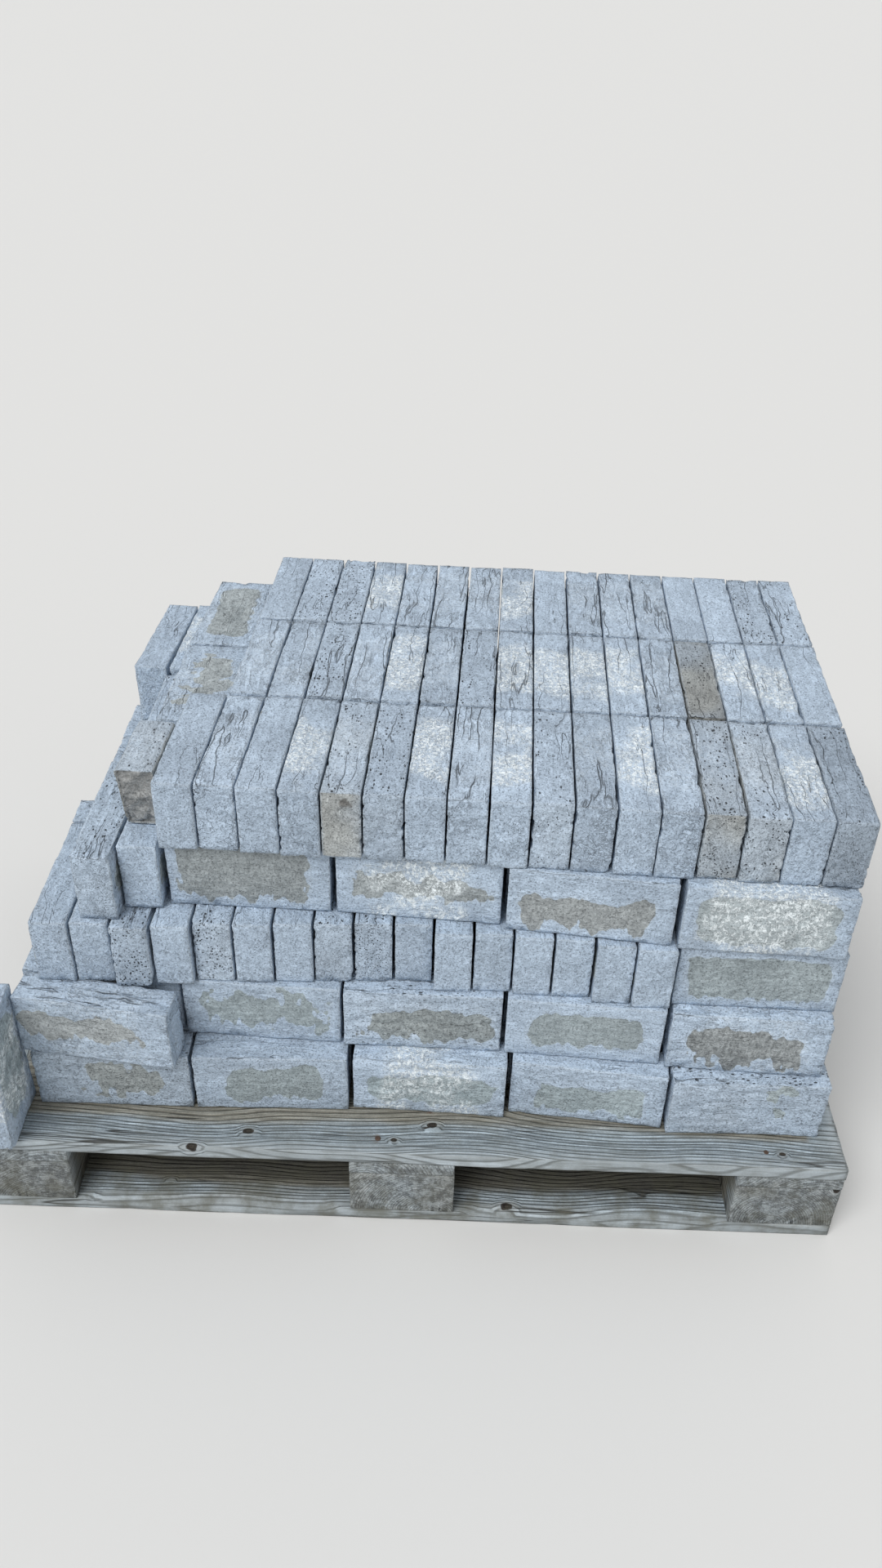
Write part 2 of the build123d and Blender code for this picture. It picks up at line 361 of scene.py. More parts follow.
def new_geometry_tree(name, sizes):
    """A Geometry Nodes tree that takes a geometry, named sizes and a finish, and gives a geometry."""
    shape = {"Geometry": "Geometry"}
    return new_group(name, "Geometry", {**shape, **sizes, "Finish": "Material"}, shape)


def finish_shape(graph, shape, finish, smooth=None):
    """Ends a Geometry Nodes tree with its shading, where that is stated, and its material."""
    if smooth is not None:
        shape = graph.node("GeometryNodeSetShadeSmooth", {"Geometry": shape, "Shade Smooth": smooth})
    finished = graph.node("GeometryNodeSetMaterial", {"Geometry": shape, "Material": finish})
    graph.node("NodeGroupOutput", {0: finished})


def store(graph, shape, name, value, kind):
    """Keeps a value at each point of a shape under a name."""
    inputs = {"Geometry": shape, "Name": name, "Value": value}
    return graph.node("GeometryNodeStoreNamedAttribute", inputs, data_type=kind)


def move_to(graph, shape, place):
    return graph.node("GeometryNodeSetPosition", {"Geometry": shape, "Position": place})


def push_in(graph, shape, depth):
    """Moves the points of a shape inwards by a depth that may vary."""
    inward = graph.node("GeometryNodeInputNormal")[0] * (depth * -1.0)
    return graph.node("GeometryNodeSetPosition", {"Geometry": shape, "Offset": inward})


def box_of_quads(graph, size, quads):
    """A box of the given size, cut into quads of about the given sizes."""
    counts = size / quads + (1.5, 1.5, 1.5)
    across_x, across_y, across_z = graph.split(counts)
    inputs = {"Size": size, "Vertices X": across_x, "Vertices Y": across_y, "Vertices Z": across_z}
    return graph.node("GeometryNodeMeshCube", inputs)["Mesh"]


def round_arrises(graph, place, size, radius):
    """Where the points of a box go when its arrises are rounded to a radius that may vary."""
    inner = size * 0.5 - graph.join(radius, radius, radius)
    core = graph.vector("MAXIMUM", graph.vector("MINIMUM", place, inner), inner * -1.0)
    outward = graph.vector("NORMALIZE", place - core)
    return core + outward * radius


mould_tree, g, given = new_geometry_tree("moulded_brick", {
    "Size": BRICK_SIZE,
    "Quad size": 0.003,
    "Arris": 0.0015,
    "Arris wear": 2.4,
    "Bow": 0.0011,
    "Dents": 0.0007,
    "Fold depth": 0.0022,
    "Seed": 1.0,
})
seed = given["Seed"]
box = box_of_quads(g, given["Size"], g.join(given["Quad size"], given["Quad size"], given["Quad size"]))
place = g.node("GeometryNodeInputPosition")[0]
named = store(g, box, "brick_place", place, "FLOAT_VECTOR")
worn = g.ramp(g.noise(place, 38.0, detail=3.0, seed=seed), 0.48, 0.78)
from_end = g.split(given["Size"])[0] * 0.5 - abs(g.split(place)[0])
softer = g.ramp(from_end, 0.004, 0.020, 0.75, 1.35)
radius = given["Arris"] * (worn * given["Arris wear"] + 0.65) * softer
rounded = move_to(g, named, round_arrises(g, place, given["Size"], radius))
print("mould tree: box and arrises,", len(mould_tree.nodes), "nodes")

# %% Bow, dent and fold its faces
bow = g.ramp(g.noise(place, 11.0, detail=1.0, seed=seed + 11.0), 0.42, 0.78)
dents = g.ramp(g.noise(place, 75.0, seed=seed + 23.0), 0.42, 0.75)
fold_field = g.noise(place, (8.0, 32.0, 32.0), detail=1.5, seed=seed + 37.0, distortion=0.4)
fold_line = g.ramp(abs(fold_field - 0.5), 0.0, 0.035, 1.0, 0.0)
fold_gate = g.ramp(g.noise(place, 15.0, detail=1.0, seed=seed + 41.0), 0.42, 0.6)
fold = fold_line * fold_gate * given["Fold depth"]
depth = bow * given["Bow"] + dents * given["Dents"]
finish_shape(g, push_in(g, rounded, depth + fold), given["Finish"])
print("mould tree:", len(mould_tree.nodes), "nodes, brick", [round(v * 1000, 1) for v in BRICK_SIZE], "mm")

# %% [markdown]
# A modifier's inputs are set by each socket's identifier, because its name is only a label. The
# result is turned into a plain mesh while the modifier still runs. Two modifiers may stand beside
# the tree: a Remesh before it, which gives a solid of any shape even quads, and a Decimate after
# it, which spends triangles where the clay bends and saves them where a face is plain.

# %% Run a tree and keep its mesh
def show(name, data):
    """A new object in the scene."""
    made = bpy.data.objects.new(name, data)
    bpy.context.scene.collection.objects.link(made)
    return made


def run_tree(start_mesh, tree, settings, name, kept_share=1.0, voxel=0.0):
    """Runs a Geometry Nodes tree on a mesh and gives back the result as a plain mesh."""
    holder = show(name, start_mesh)
    if voxel:
        holder.modifiers.new("even", "REMESH").voxel_size = voxel
    modifier = holder.modifiers.new("shape", "NODES")
    modifier.node_group = tree
    for socket in tree.interface.items_tree:
        if socket.in_out == "INPUT" and socket.name in settings:
            modifier[socket.identifier] = settings[socket.name]
    if kept_share < 1.0:
        holder.modifiers.new("fewer", "DECIMATE").ratio = kept_share
    graph = bpy.context.evaluated_depsgraph_get()
    evaluated = holder.evaluated_get(graph)
    result = bpy.data.meshes.new_from_object(evaluated, preserve_all_data_layers=True, depsgraph=graph)
    result.name = name
    bpy.data.objects.remove(holder)
    return result


# %% Make the moulds
FOLDED_MOULDS, PLAIN_MOULDS = range(0, 10), range(10, 20)
CORE_MOULD = 20
FOLD_DEPTH, SLIGHT_FOLD_DEPTH = 0.0028, 0.0009
SCULPT_QUAD, CORE_QUAD = 0.0031, 0.014
KEPT_SHARE, CORE_KEPT_SHARE = 0.18, 0.35
MOULD_SEED_STEP = 7.3
clay = bpy.data.materials.new("fired_clay")
moulds = bpy.data.collections.new("moulds")


def make_mould(number, quad, fold_depth, kept_share):
    seed = number * MOULD_SEED_STEP
    settings = {"Quad size": quad, "Fold depth": fold_depth, "Seed": seed, "Finish": clay}
    name = "mould_%02d" % number
    mesh = run_tree(bpy.data.meshes.new("blank"), mould_tree, settings, name, kept_share)
    moulds.objects.link(bpy.data.objects.new(name, mesh))


for number in FOLDED_MOULDS:
    make_mould(number, SCULPT_QUAD, FOLD_DEPTH, KEPT_SHARE)
for number in PLAIN_MOULDS:
    make_mould(number, SCULPT_QUAD, SLIGHT_FOLD_DEPTH, KEPT_SHARE)
make_mould(CORE_MOULD, CORE_QUAD, 0.0, CORE_KEPT_SHARE)

# %% [markdown]
# ## Laying the bricks
#
# A second tree lays the load. Its input is a mesh of single points, one for each brick of a node,
# which carry the brick's turn, its size against the mould, which mould it came from and how it was
# fired. Instance on Points sets the right mould on each, Realize Instances makes them real, and one
# slow wave over the whole row keeps two bricks of the same mould from matching.

# %% Write the tree that lays bricks
laying_tree, g, given = new_geometry_tree("laid_bricks", {
    "Moulds": "Collection",
    "Settling": 0.0003,
})


def read(graph, name, kind):
    return graph.node("GeometryNodeInputNamedAttribute", {"Name": name}, data_type=kind)[0]


def set_out(graph, points, shape, inputs):
    """Sets a shape on each point, with the turn that the point carries, and makes the copies real."""
    turn = graph.node("FunctionNodeEulerToRotation", {0: read(graph, "turn", "FLOAT_VECTOR")})
    inputs = {"Points": points, "Instance": shape, "Rotation": turn, **inputs}
    return graph.node("GeometryNodeRealizeInstances", {0: graph.node("GeometryNodeInstanceOnPoints", inputs)})


shapes = g.node("GeometryNodeCollectionInfo", {"Collection": given["Moulds"], "Separate Children": True,
                                               "Reset Children": True})
laid = set_out(g, given["Geometry"], shapes, {"Pick Instance": True, "Instance Index": read(g, "mould", "INT"),
                                              "Scale": read(g, "stretch", "FLOAT_VECTOR")})
place = g.node("GeometryNodeInputPosition")[0]
slow_wave = g.ramp(g.noise(place, 9.0, detail=1.0, seed=5.0), 0.25, 0.75)
finish_shape(g, push_in(g, laid, slow_wave * given["Settling"]), given["Finish"], smooth=True)
print("laying tree:", len(laying_tree.nodes), "nodes")

# %% [markdown]
# ## How each brick was fired
#
# Every brick gets a few numbers of its own that the clay material reads: a draw that shifts all its
# patterns, how warm and how dark its clay is, and how much white bloom and how many pits and creases
# it has. They come from a fixed random draw. Most bricks are plain, creased, pitted or bloomed, and
# the rows that show are then given the kinds that they really have, from left to right.

# %% Name the kinds of brick
KINDS = {
    "plain": {"bloom": 0.0, "pits": 0.15, "creases": 0.3, "warmth": 0.08},
    "creased": {"bloom": 0.15, "pits": 0.15, "creases": 1.0, "warmth": 0.05},
    "pitted": {"bloom": 0.0, "pits": 1.0, "creases": 0.5, "warmth": 0.25},
    "bloomed": {"bloom": 0.9, "pits": 0.1, "creases": 0.55, "warmth": 0.05},
    "tan": {"bloom": 0.15, "pits": 0.75, "creases": 0.45, "warmth": 0.8},
    "brown": {"bloom": 0.0, "pits": 0.9, "creases": 0.8, "warmth": 2.0, "tone": -3.8},
}
KIND_SHARES = {"plain": 0.34, "creased": 0.24, "pitted": 0.18, "bloomed": 0.18, "tan": 0.05, "brown": 0.01}
ROWS = {
    "course_1_front_row": "pitted plain bloomed plain pitted",
    "course_2_front_row": "plain pitted plain creased",
    "course_2_shifted_brick": "creased",
    "course_3_front_row": "plain plain pitted plain pitted plain plain pitted pitted plain plain plain plain "
                          "plain plain plain",
    "course_3_right_column": "plain",
    "course_4_front_row": "plain bloomed plain bloomed",
    "course_4_front_headers": "pitted plain",
    "course_5_front_row": "plain creased plain bloomed tan pitted bloomed creased bloomed pitted creased "
                          "bloomed creased tan tan bloomed pitted",
    "course_5_middle_row": "creased creased pitted creased bloomed creased pitted bloomed bloomed bloomed "
                           "bloomed creased brown bloomed bloomed plain",
    "course_5_back_row": "plain pitted pitted bloomed creased creased creased bloomed plain creased creased "
                         "creased plain plain pitted pitted",
    "brick_on_end": "bloomed",
    "snapped_bat": "tan",
}
print("rows finished by hand:", len(ROWS))

# %% [markdown]
# Where bricks lay against each other while they were wet, their bed faces keep a darker patch with a
# cut-out, ragged edge. It is stated for each brick as a place and a reach on the face, in metres
# from its middle, a depth of colour, how brown it is and how ragged its edge is.

# %% Place the patches on the bed faces
def patch(along, up, half_length, half_height, depth, brown, ragged):
    return {"patch_middle": (along, up, depth), "patch_reach": (half_length, half_height, ragged),
            "patch_brown": brown}


PATCHES = {
    "course_1_front_row": (
        patch(0.016, 0.002, 0.044, 0.028, 0.80, 0.7, 1.1),
        patch(0.006, 0.002, 0.066, 0.030, 0.85, 0.3, 0.6),
        patch(0.002, -0.004, 0.088, 0.024, 0.80, 0.1, 0.5),
        patch(0.007, -0.006, 0.072, 0.024, 0.60, 0.2, 0.7),
        patch(0.040, 0.018, 0.016, 0.018, 0.40, 0.3, 1.3),
    ),
    "course_2_front_row": (
        patch(0.000, 0.003, 0.080, 0.024, 0.80, 0.3, 1.3),
        patch(0.009, -0.004, 0.088, 0.027, 1.20, 0.6, 0.9),
        patch(0.000, 0.000, 0.074, 0.026, 0.90, 0.4, 0.6),
        patch(-0.008, -0.006, 0.082, 0.026, 1.55, 1.0, 1.0),
    ),
    "course_2_shifted_brick": (patch(-0.022, 0.006, 0.086, 0.018, 0.70, 1.0, 0.9),),
    "course_4_front_row": (
        patch(-0.009, 0.008, 0.084, 0.040, 1.05, 0.8, 0.7),
        patch(0.003, -0.002, 0.084, 0.018, 1.00, 0.8, 0.8),
        patch(-0.005, -0.012, 0.090, 0.022, 1.10, 1.0, 0.8),
        patch(0.000, 0.002, 0.086, 0.038, 0.60, 0.5, 0.3),
    ),
    "course_3_right_column": (patch(0.000, 0.000, 0.092, 0.036, 0.80, 0.4, 0.4),),
}
print("patches placed on", sum(len(row) for row in PATCHES.values()), "bricks")

# %% Draw each brick's finish
AS_LAID = 0
MAY_FOLD = 0.4
PATCH_LOW = (-0.012, -0.006, 0.058, 0.020, 0.3, 0.0, 0.4)
PATCH_HIGH = (0.012, 0.006, 0.090, 0.032, 1.0, 1.0, 1.3)
STAIN_LOW, STAIN_HIGH = (-0.09, -0.02, 0.03), (0.09, 0.02, 0.05)
chance = np.random.default_rng(1953)
kind_names, kind_weights = list(KIND_SHARES), list(KIND_SHARES.values())


def draw_finish():
    """The finish of a brick that nobody chose by hand."""
    finish = {"tone": float(chance.uniform(-1.0, 1.0))}
    finish.update(KINDS[str(chance.choice(kind_names, p=kind_weights))])
    finish.update(patch(*[float(size) for size in chance.uniform(PATCH_LOW, PATCH_HIGH)]))
    finish["stain_middle"] = tuple(chance.uniform(STAIN_LOW, STAIN_HIGH))
    finish["stain_reach"] = float(max(0.0, chance.uniform(-0.03, 0.014)))
    return finish


for seat in everything:
    seat["finish"] = draw_finish()
    seat["draw"] = chance.uniform(0.0, 6.0, 3)
    seat["flip"] = int(chance.integers(4))
for node, kinds in ROWS.items():
    for seat, kind in zip(bricks[node], kinds.split()):
        seat["finish"].update(KINDS[kind])
        seat["finish"]["stain_reach"] = 0.0
for node, patches in PATCHES.items():
    for seat, placed in zip(bricks[node], patches):
        seat["finish"].update(placed)
        seat["flip"] = AS_LAID
for seat in everything:
    is_folded = seat["finish"]["creases"] > MAY_FOLD
    mould = int(chance.choice(FOLDED_MOULDS if is_folded else PLAIN_MOULDS))
    seat["mould"] = mould if seat["exposed"] else CORE_MOULD

stained = bricks["course_5_front_row"][4]
stained["flip"] = AS_LAID
stained["finish"].update({"stain_middle": (0.105, 0.006, 0.034), "stain_reach": 0.009})
print("finishes drawn for", len(everything), "bricks")

# %% Lay every node's bricks
FLIPS = tuple(Matrix.Diagonal(signs) for signs in ((1, 1, 1), (1, -1, -1), (-1, 1, -1), (-1, -1, 1)))


def write_attribute(mesh, name, values):
    """Gives each point of a mesh a number or a vector that materials and trees can read."""
    values = np.array(values, dtype=float)
    kind = "FLOAT_VECTOR" if values.ndim == 2 else "FLOAT"
    layer = mesh.attributes.new(name, kind, "POINT")
    layer.data.foreach_set("vector" if values.ndim == 2 else "value", values.ravel())


def write_same(mesh, name, value):
    """Gives every point of a mesh the same number or vector."""
    count = len(mesh.vertices)
    write_attribute(mesh, name, np.tile(value, (count, 1) if np.ndim(value) else count))


def points_of(mesh):
    points = np.empty(len(mesh.vertices) * 3)
    mesh.vertices.foreach_get("co", points)
    return points.reshape(-1, 3)


def add_piece(name, mesh, node):
    """Makes a mesh a piece of the visual model that stands for a node, no larger than the node's box."""
    mesh.vertices.foreach_set("co", np.clip(points_of(mesh), *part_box(node)).ravel())
    piece = show(name, mesh)
    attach(piece, "root")
    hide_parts(node)
    return piece


def lay(node, seats):
    """Lays the bricks of one node, and shows them in place of it."""
    points = bpy.data.meshes.new(node + "_points")
    points.from_pydata([tuple(seat["middle"]) for seat in seats], [], [])
    turns = [(Matrix(seat["axes"]).transposed() @ FLIPS[seat["flip"]]).to_euler() for seat in seats]
    write_attribute(points, "turn", [tuple(turn) for turn in turns])
    write_attribute(points, "stretch", [seat["size"] / np.array(BRICK_SIZE) for seat in seats])
    write_attribute(points, "draw", [seat["draw"] for seat in seats])
    mould_layer = points.attributes.new("mould", "INT", "POINT")
    mould_layer.data.foreach_set("value", [seat["mould"] for seat in seats])
    for trait_name in seats[0]["finish"]:
        write_attribute(points, trait_name, [seat["finish"][trait_name] for seat in seats])
    mesh = run_tree(points, laying_tree, {"Moulds": moulds, "Finish": clay}, "laid_" + node)
    return add_piece("laid_" + node, mesh, node)


laid_bricks = [lay(node, seats) for node, seats in bricks.items() if node != "snapped_bat"]
print(sum(len(piece.data.polygons) for piece in laid_bricks), "faces of brick, most in a piece:",
      max(len(piece.data.polygons) for piece in laid_bricks))
for mould in list(moulds.objects):
    bpy.data.objects.remove(mould)
bpy.data.collections.remove(moulds)

# %% [markdown]
# ## The snapped bat
#
# One brick broke in two, and the half that is left shows its rough inside. Its solid already leans
# where it snapped. A Remesh gives that solid even quads, and a small tree pushes the broken face in
# by a coarse, stony noise, and the moulded faces only by a soft wave. It also stores which points
# are on the break, so that the clay can be darker and coarser there.

# %% Break the bat
BAT_VOXEL = 0.0024
BAT_KEPT_SHARE = 0.5
bat_tree, g, given = new_geometry_tree("snapped_clay", {
    "Break facing": (0.0, -1.0, 0.0),
    "Break depth": 0.007,
    "Wave depth": 0.0014,
    "Seed": 4.0,
})
place = g.node("GeometryNodeInputPosition")[0]
facing = g.vector("DOT_PRODUCT", g.node("GeometryNodeInputNormal"), given["Break facing"])
broken = g.ramp(facing, 0.55, 0.8)
named = store(g, given["Geometry"], "broken", broken, "FLOAT")
stony = g.ramp(g.noise(place, 55.0, detail=5.0, seed=given["Seed"], roughness=0.62), 0.3, 0.7)
wave = g.ramp(g.noise(place, 22.0, seed=given["Seed"]), 0.3, 0.7)
depth = stony * broken * given["Break depth"] + wave * given["Wave depth"]
finish_shape(g, push_in(g, named, depth), given["Finish"], smooth=True)
print("bat tree:", len(bat_tree.nodes), "nodes")


# %% Show the bat
def merged_copy(node):
    """A new mesh like a node's, with its loose triangles joined."""
    work = joined(node)
    mesh = bpy.data.meshes.new(node + "_copy")
    work.to_mesh(mesh)
    work.free()
    return mesh


bat_seat = bricks["snapped_bat"][0]
bat_settings = {"Break facing": Vector(bat_seat["axes"][0]), "Finish": clay}
bat_mesh = run_tree(merged_copy("snapped_bat"), bat_tree, bat_settings, "snapped_bat_clay",
                    BAT_KEPT_SHARE, BAT_VOXEL)
write_attribute(bat_mesh, "brick_place", (points_of(bat_mesh) - bat_seat["middle"]) @ bat_seat["axes"].T)
for trait_name, value in {"draw": bat_seat["draw"], **bat_seat["finish"]}.items():
    write_same(bat_mesh, trait_name, value)
add_piece("laid_snapped_bat", bat_mesh, "snapped_bat")
print("bat:", len(bat_mesh.polygons), "faces")

# %% [markdown]
# ## Effects that clay, wood and rust share
#
# Three effects come back in every material here, so each is a node group, built once, with named
# inputs that each material sets to its own values. Grain is the fine unevenness of anything raw.
# Worn arrises are found from how far a point is from the two nearest sides of its piece. Splashed
# dirt is what rain throws up from the ground, and it thins out with height.

# %% Build the shared groups
grain_group, g, given = new_group("raw_grain", "Shader", {
    "Place": (0, 0, 0),
    "Coarse scale": 120.0,
    "Fine scale": 520.0,
    "Contrast": 0.1,
}, {"Shade": "Float", "Height": "Float"})
coarse = g.noise(given["Place"], given["Coarse scale"], detail=3.0, seed=1.0, roughness=0.6)
fine = g.noise(given["Place"], given["Fine scale"], seed=2.0, roughness=0.7)
both = g.ramp(coarse, 0.3, 0.7, -0.6, 0.6) + g.ramp(fine, 0.36, 0.64, -1.0, 1.0)
shade = both * given["Contrast"] + 1.0
height = coarse * 0.7 + fine * 0.3
g.node("NodeGroupOutput", {"Shade": shade, "Height": height})

arris_group, g, given = new_group("worn_arris", "Shader", {
    "Place": (0, 0, 0),
    "Half size": (0.1, 0.1, 0.1),
    "Reach": 0.004,
    "Raggedness": 0.004,
}, {"Wear": "Float"})
from_sides = g.split(given["Half size"] - abs(given["Place"]))
nearer = g.math("MINIMUM", from_sides[0], from_sides[1])
farther = g.math("MAXIMUM", from_sides[0], from_sides[1])
second = g.math("MAXIMUM", nearer, g.math("MINIMUM", farther, from_sides[2]))
ragged = g.noise(given["Place"], 90.0, detail=3.0, seed=3.0) * given["Raggedness"] + second
limit = given["Raggedness"] * 0.5 + given["Reach"]
wear = (1.0 - ragged / limit).clamped()
g.node("NodeGroupOutput", {"Wear": wear})

dirt_group, g, given = new_group("splashed_dirt", "Shader", {
    "Height limit": 0.2,
    "Amount": 0.5,
}, {"Dirt": "Float"})
spot = g.node("ShaderNodeTexCoord")["Object"]
above_ground = g.split(spot)[2]
low_down = (1.0 - above_ground / given["Height limit"]).clamped()
blotches = g.ramp(g.noise(spot, 26.0, detail=4.0, seed=4.0, roughness=0.65), 0.35, 0.7)
g.node("NodeGroupOutput", {"Dirt": low_down * blotches * given["Amount"]})
print("shared groups:", grain_group.name, arris_group.name, dirt_group.name)

# %% [markdown]
# ## Fired clay
#
# The clay is a cool pale grey, cloudy rather than even, and a few bricks are tan. All patterns are
# laid out in the brick's own coordinates, shifted by its draw, so they turn with the brick and no
# two bricks share them. Each effect below is a mask between 0 and 1 that changes the colour, and
# most of them also change a height in metres, which one Bump node at the end turns into relief.

# %% Helpers for materials
def shader_graph(owner):
    """A graph for the empty node tree of a material or a world."""
    owner.use_nodes = True
    owner.node_tree.nodes.clear()
    return Graph(owner.node_tree)


def finish_surface(graph, colour, roughness, relief, inputs):
    """Ends a material with its relief and its surface."""
    bump = graph.node("ShaderNodeBump", relief)
    inputs = {"Base Color": colour, "Roughness": roughness, "Normal": bump, **inputs}
    graph.node("ShaderNodeOutputMaterial", {0: graph.node("ShaderNodeBsdfPrincipled", inputs)})


def trait(graph, name):
    return graph.node("ShaderNodeAttribute", attribute_name=name)["Fac"]


def trait_vector(graph, name):
    return graph.node("ShaderNodeAttribute", attribute_name=name)["Vector"]


def full_relief(parts):
    """Relief at its full height, from masks and what each of them adds in metres."""
    return {"Height": sum(mask * metres for mask, metres in parts), "Strength": 1.0, "Distance": 1.0}


def near_side(graph, coordinate, half_size, reach):
    """1 on the sides of a piece that face along one of its axes, and 0 further in than the reach."""
    inside = half_size - abs(coordinate)
    return graph.ramp(inside, reach * 0.4, reach, 1.0, 0.0)


# %% Lay out the clay's base colour
PALE_CLAY, DEEP_CLAY = (0.478, 0.580, 0.702, 1), (0.398, 0.484, 0.588, 1)
PALE_TAN, DEEP_TAN = (0.468, 0.488, 0.474, 1), (0.360, 0.365, 0.345, 1)
ARRIS_CLAY = (0.56, 0.64, 0.72, 1)
SIDE_REACH = 0.003
half_brick = tuple(BRICK_SIZE / 2)

g = shader_graph(clay)
own = trait_vector(g, "brick_place")
place = own + trait_vector(g, "draw")
own_x, own_y, own_z = g.split(own)
bed_side = near_side(g, own_y, half_brick[1], SIDE_REACH)
long_side = near_side(g, own_z, half_brick[2], SIDE_REACH)
cloud = g.ramp(g.noise(place, 13.0, detail=3.0, roughness=0.55), 0.3, 0.7)
grain = g.group(grain_group, {"Place": place, "Fine scale": 430.0, "Contrast": 0.14})
cool = g.mix(cloud, DEEP_CLAY, PALE_CLAY)
warm = g.mix(cloud, DEEP_TAN, PALE_TAN)
sun_faded = long_side * -0.6 + 1.0
warm_field = trait(g, "warmth") * sun_faded * g.ramp(g.noise(place, 8.0, seed=19.0), 0.35, 0.6, 0.5, 1.0)
warm_share = g.ramp(warm_field, 0.02, 1.0)
colour = g.mix(warm_share, cool, warm)
brightness = grain["Shade"] * (trait(g, "tone") * 0.07 + 1.0)
colour = colour * brightness
wear = g.group(arris_group, {"Place": own, "Half size": half_brick})[0]
colour = g.mix(wear * 0.55, colour, ARRIS_CLAY)
print("clay base:", len(clay.node_tree.nodes), "nodes")

# %% Lay the patches over the bed faces
# The patch is a rounded box seen as a distance from its edge, and noise added to that distance cuts
# its outline into lobes and drips. A band just outside it is paler, as on the real bricks.
PATCH_CORNER, RIM_WIDTH = 0.018, 0.009
PATCH_GREY, PATCH_BROWN = (0.99, 0.99, 0.88, 1), (1.09, 0.97, 0.82, 1)
patch_x, patch_z, patch_depth = g.split(trait_vector(g, "patch_middle"))
reach_x, reach_z, ragged = g.split(trait_vector(g, "patch_reach"))
off_x = abs(own_x - patch_x) - reach_x
off_z = abs(own_z - patch_z) - reach_z
outer_x = g.math("MAXIMUM", off_x + PATCH_CORNER, 0.0)
outer_z = g.math("MAXIMUM", off_z + PATCH_CORNER, 0.0)
distance = g.vector("LENGTH", g.join(outer_x, outer_z, 0.0)) - PATCH_CORNER
lobes = g.ramp(g.noise(place, 26.0, seed=6.0), 0.2, 0.8, -0.015, 0.015)
drips = g.ramp(g.noise(place, (75.0, 75.0, 26.0), detail=1.5, seed=7.0), 0.25, 0.75, -0.01, 0.01)
drips = drips * g.ramp(own_z - patch_z, -0.006, 0.012, 1.0, 0.4)
distance = (lobes + drips) * ragged + distance
patched = g.ramp(distance, -0.0006, 0.0009, 1.0, 0.0) * bed_side
rim = g.ramp(distance, 0.0, RIM_WIDTH, 1.0, 0.0) * bed_side * g.ramp(patch_depth, 0.2, 0.6)
rim = (rim - patched).clamped()
flecks = g.ramp(g.noise(place, (210.0, 210.0, 110.0), detail=3.0, seed=8.0), 0.35, 0.7)
patch_shade = 1.0 - patch_depth * (flecks * 0.17 + 0.24)
patch_tint = g.mix(trait(g, "patch_brown"), PATCH_GREY, PATCH_BROWN)
patch_colour = colour * patch_tint * patch_shade
colour = g.mix(rim * 0.22, colour, ARRIS_CLAY)
colour = g.mix(patched, colour, patch_colour)
print("clay with patches:", len(clay.node_tree.nodes), "nodes")

# %% Add stains and white bloom
# Bloom is salt that the drying brick sweated out. It sits in the middle of the faces as a soft haze
# with small hard flecks in it.
BLOOM_WHITE = (0.90, 0.97, 1.00, 1)
STAIN_BROWN = (0.115, 0.105, 0.095, 1)
to_stain = g.vector("DISTANCE", own, trait_vector(g, "stain_middle"))
stain_edge = g.noise(place, 80.0, seed=9.0) * 0.01 + to_stain
stain_limit = trait(g, "stain_reach") + 0.005
stained = g.ramp(stain_limit - stain_edge, -0.001, 0.003)
colour = g.mix(stained * 0.75, colour, STAIN_BROWN)
toward_end = g.ramp(abs(own_x), 0.045, 0.104, 0.16, -0.2)
bloom_field = g.noise(place, 17.0, seed=10.0) + toward_end
bloom_area = g.ramp(bloom_field, 0.46, 0.68)
on_faces = g.math("MAXIMUM", bed_side, long_side)
bloom_strength = bloom_area * trait(g, "bloom") * (on_faces * 0.9 + 0.1)
speck_field = g.noise(place * (1.0, 1.0, 0.7), 200.0, detail=4.0, seed=11.0, roughness=0.8, distortion=0.5)
specks = g.ramp(speck_field, 0.48, 0.56)
bloom = bloom_strength * (specks * 0.84 + 0.14)
colour = g.mix(bloom, colour, BLOOM_WHITE)
print("clay with bloom:", len(clay.node_tree.nodes), "nodes")

# %% Cut creases and pits into it
# A crease is where a slow stretched noise crosses one value: its line wanders along the brick, and
# the clay stands a little higher on one side of it, as where a fold lies on another, and its line
# is darkened in colour: painted shade. The pits are small cells drawn out along the brick, in
# streaks.
CREASE_PAINTED_SHADE, PIT_PAINTED_SHADE = (0.085, 0.092, 0.10, 1), (0.030, 0.033, 0.038, 1)
swerve = g.node("ShaderNodeTexNoise", {"Vector": place, "Scale": 11.0, "Detail": 2.0})["Color"]
flow = place + (swerve - (0.5, 0.5, 0.5)) * 0.02
fold_field = g.noise(flow, (3.6, 44.0, 44.0), detail=3.0, seed=12.0, roughness=0.45)
across_fold = fold_field - 0.5
fold_gate = g.ramp(g.noise(place, (7.0, 16.0, 16.0), seed=13.0), 0.4, 0.66)
fold_share = fold_gate * trait(g, "creases") * (long_side * 0.75 + 0.25)
crease_width = fold_share * 0.017 + 0.0005
crease = (1.0 - abs(across_fold) / crease_width).clamped()
crease = crease * g.ramp(fold_share, 0.0, 0.25)
lip = g.ramp(across_fold, 0.0, 0.02) * g.ramp(across_fold, 0.02, 0.16, 1.0, 0.0) * fold_share
fine_folds = g.noise(flow, (38.0, 140.0, 140.0), detail=3.0, seed=16.0, roughness=0.55)
fine_line = g.ramp(abs(fine_folds - 0.5), 0.0, 0.05, 1.0, 0.0)
fine_gate = g.ramp(g.noise(place, 34.0, detail=1.0, seed=18.0), 0.42, 0.62)
fine_line = fine_line * fine_gate * (trait(g, "creases") * 0.8 + 0.2)
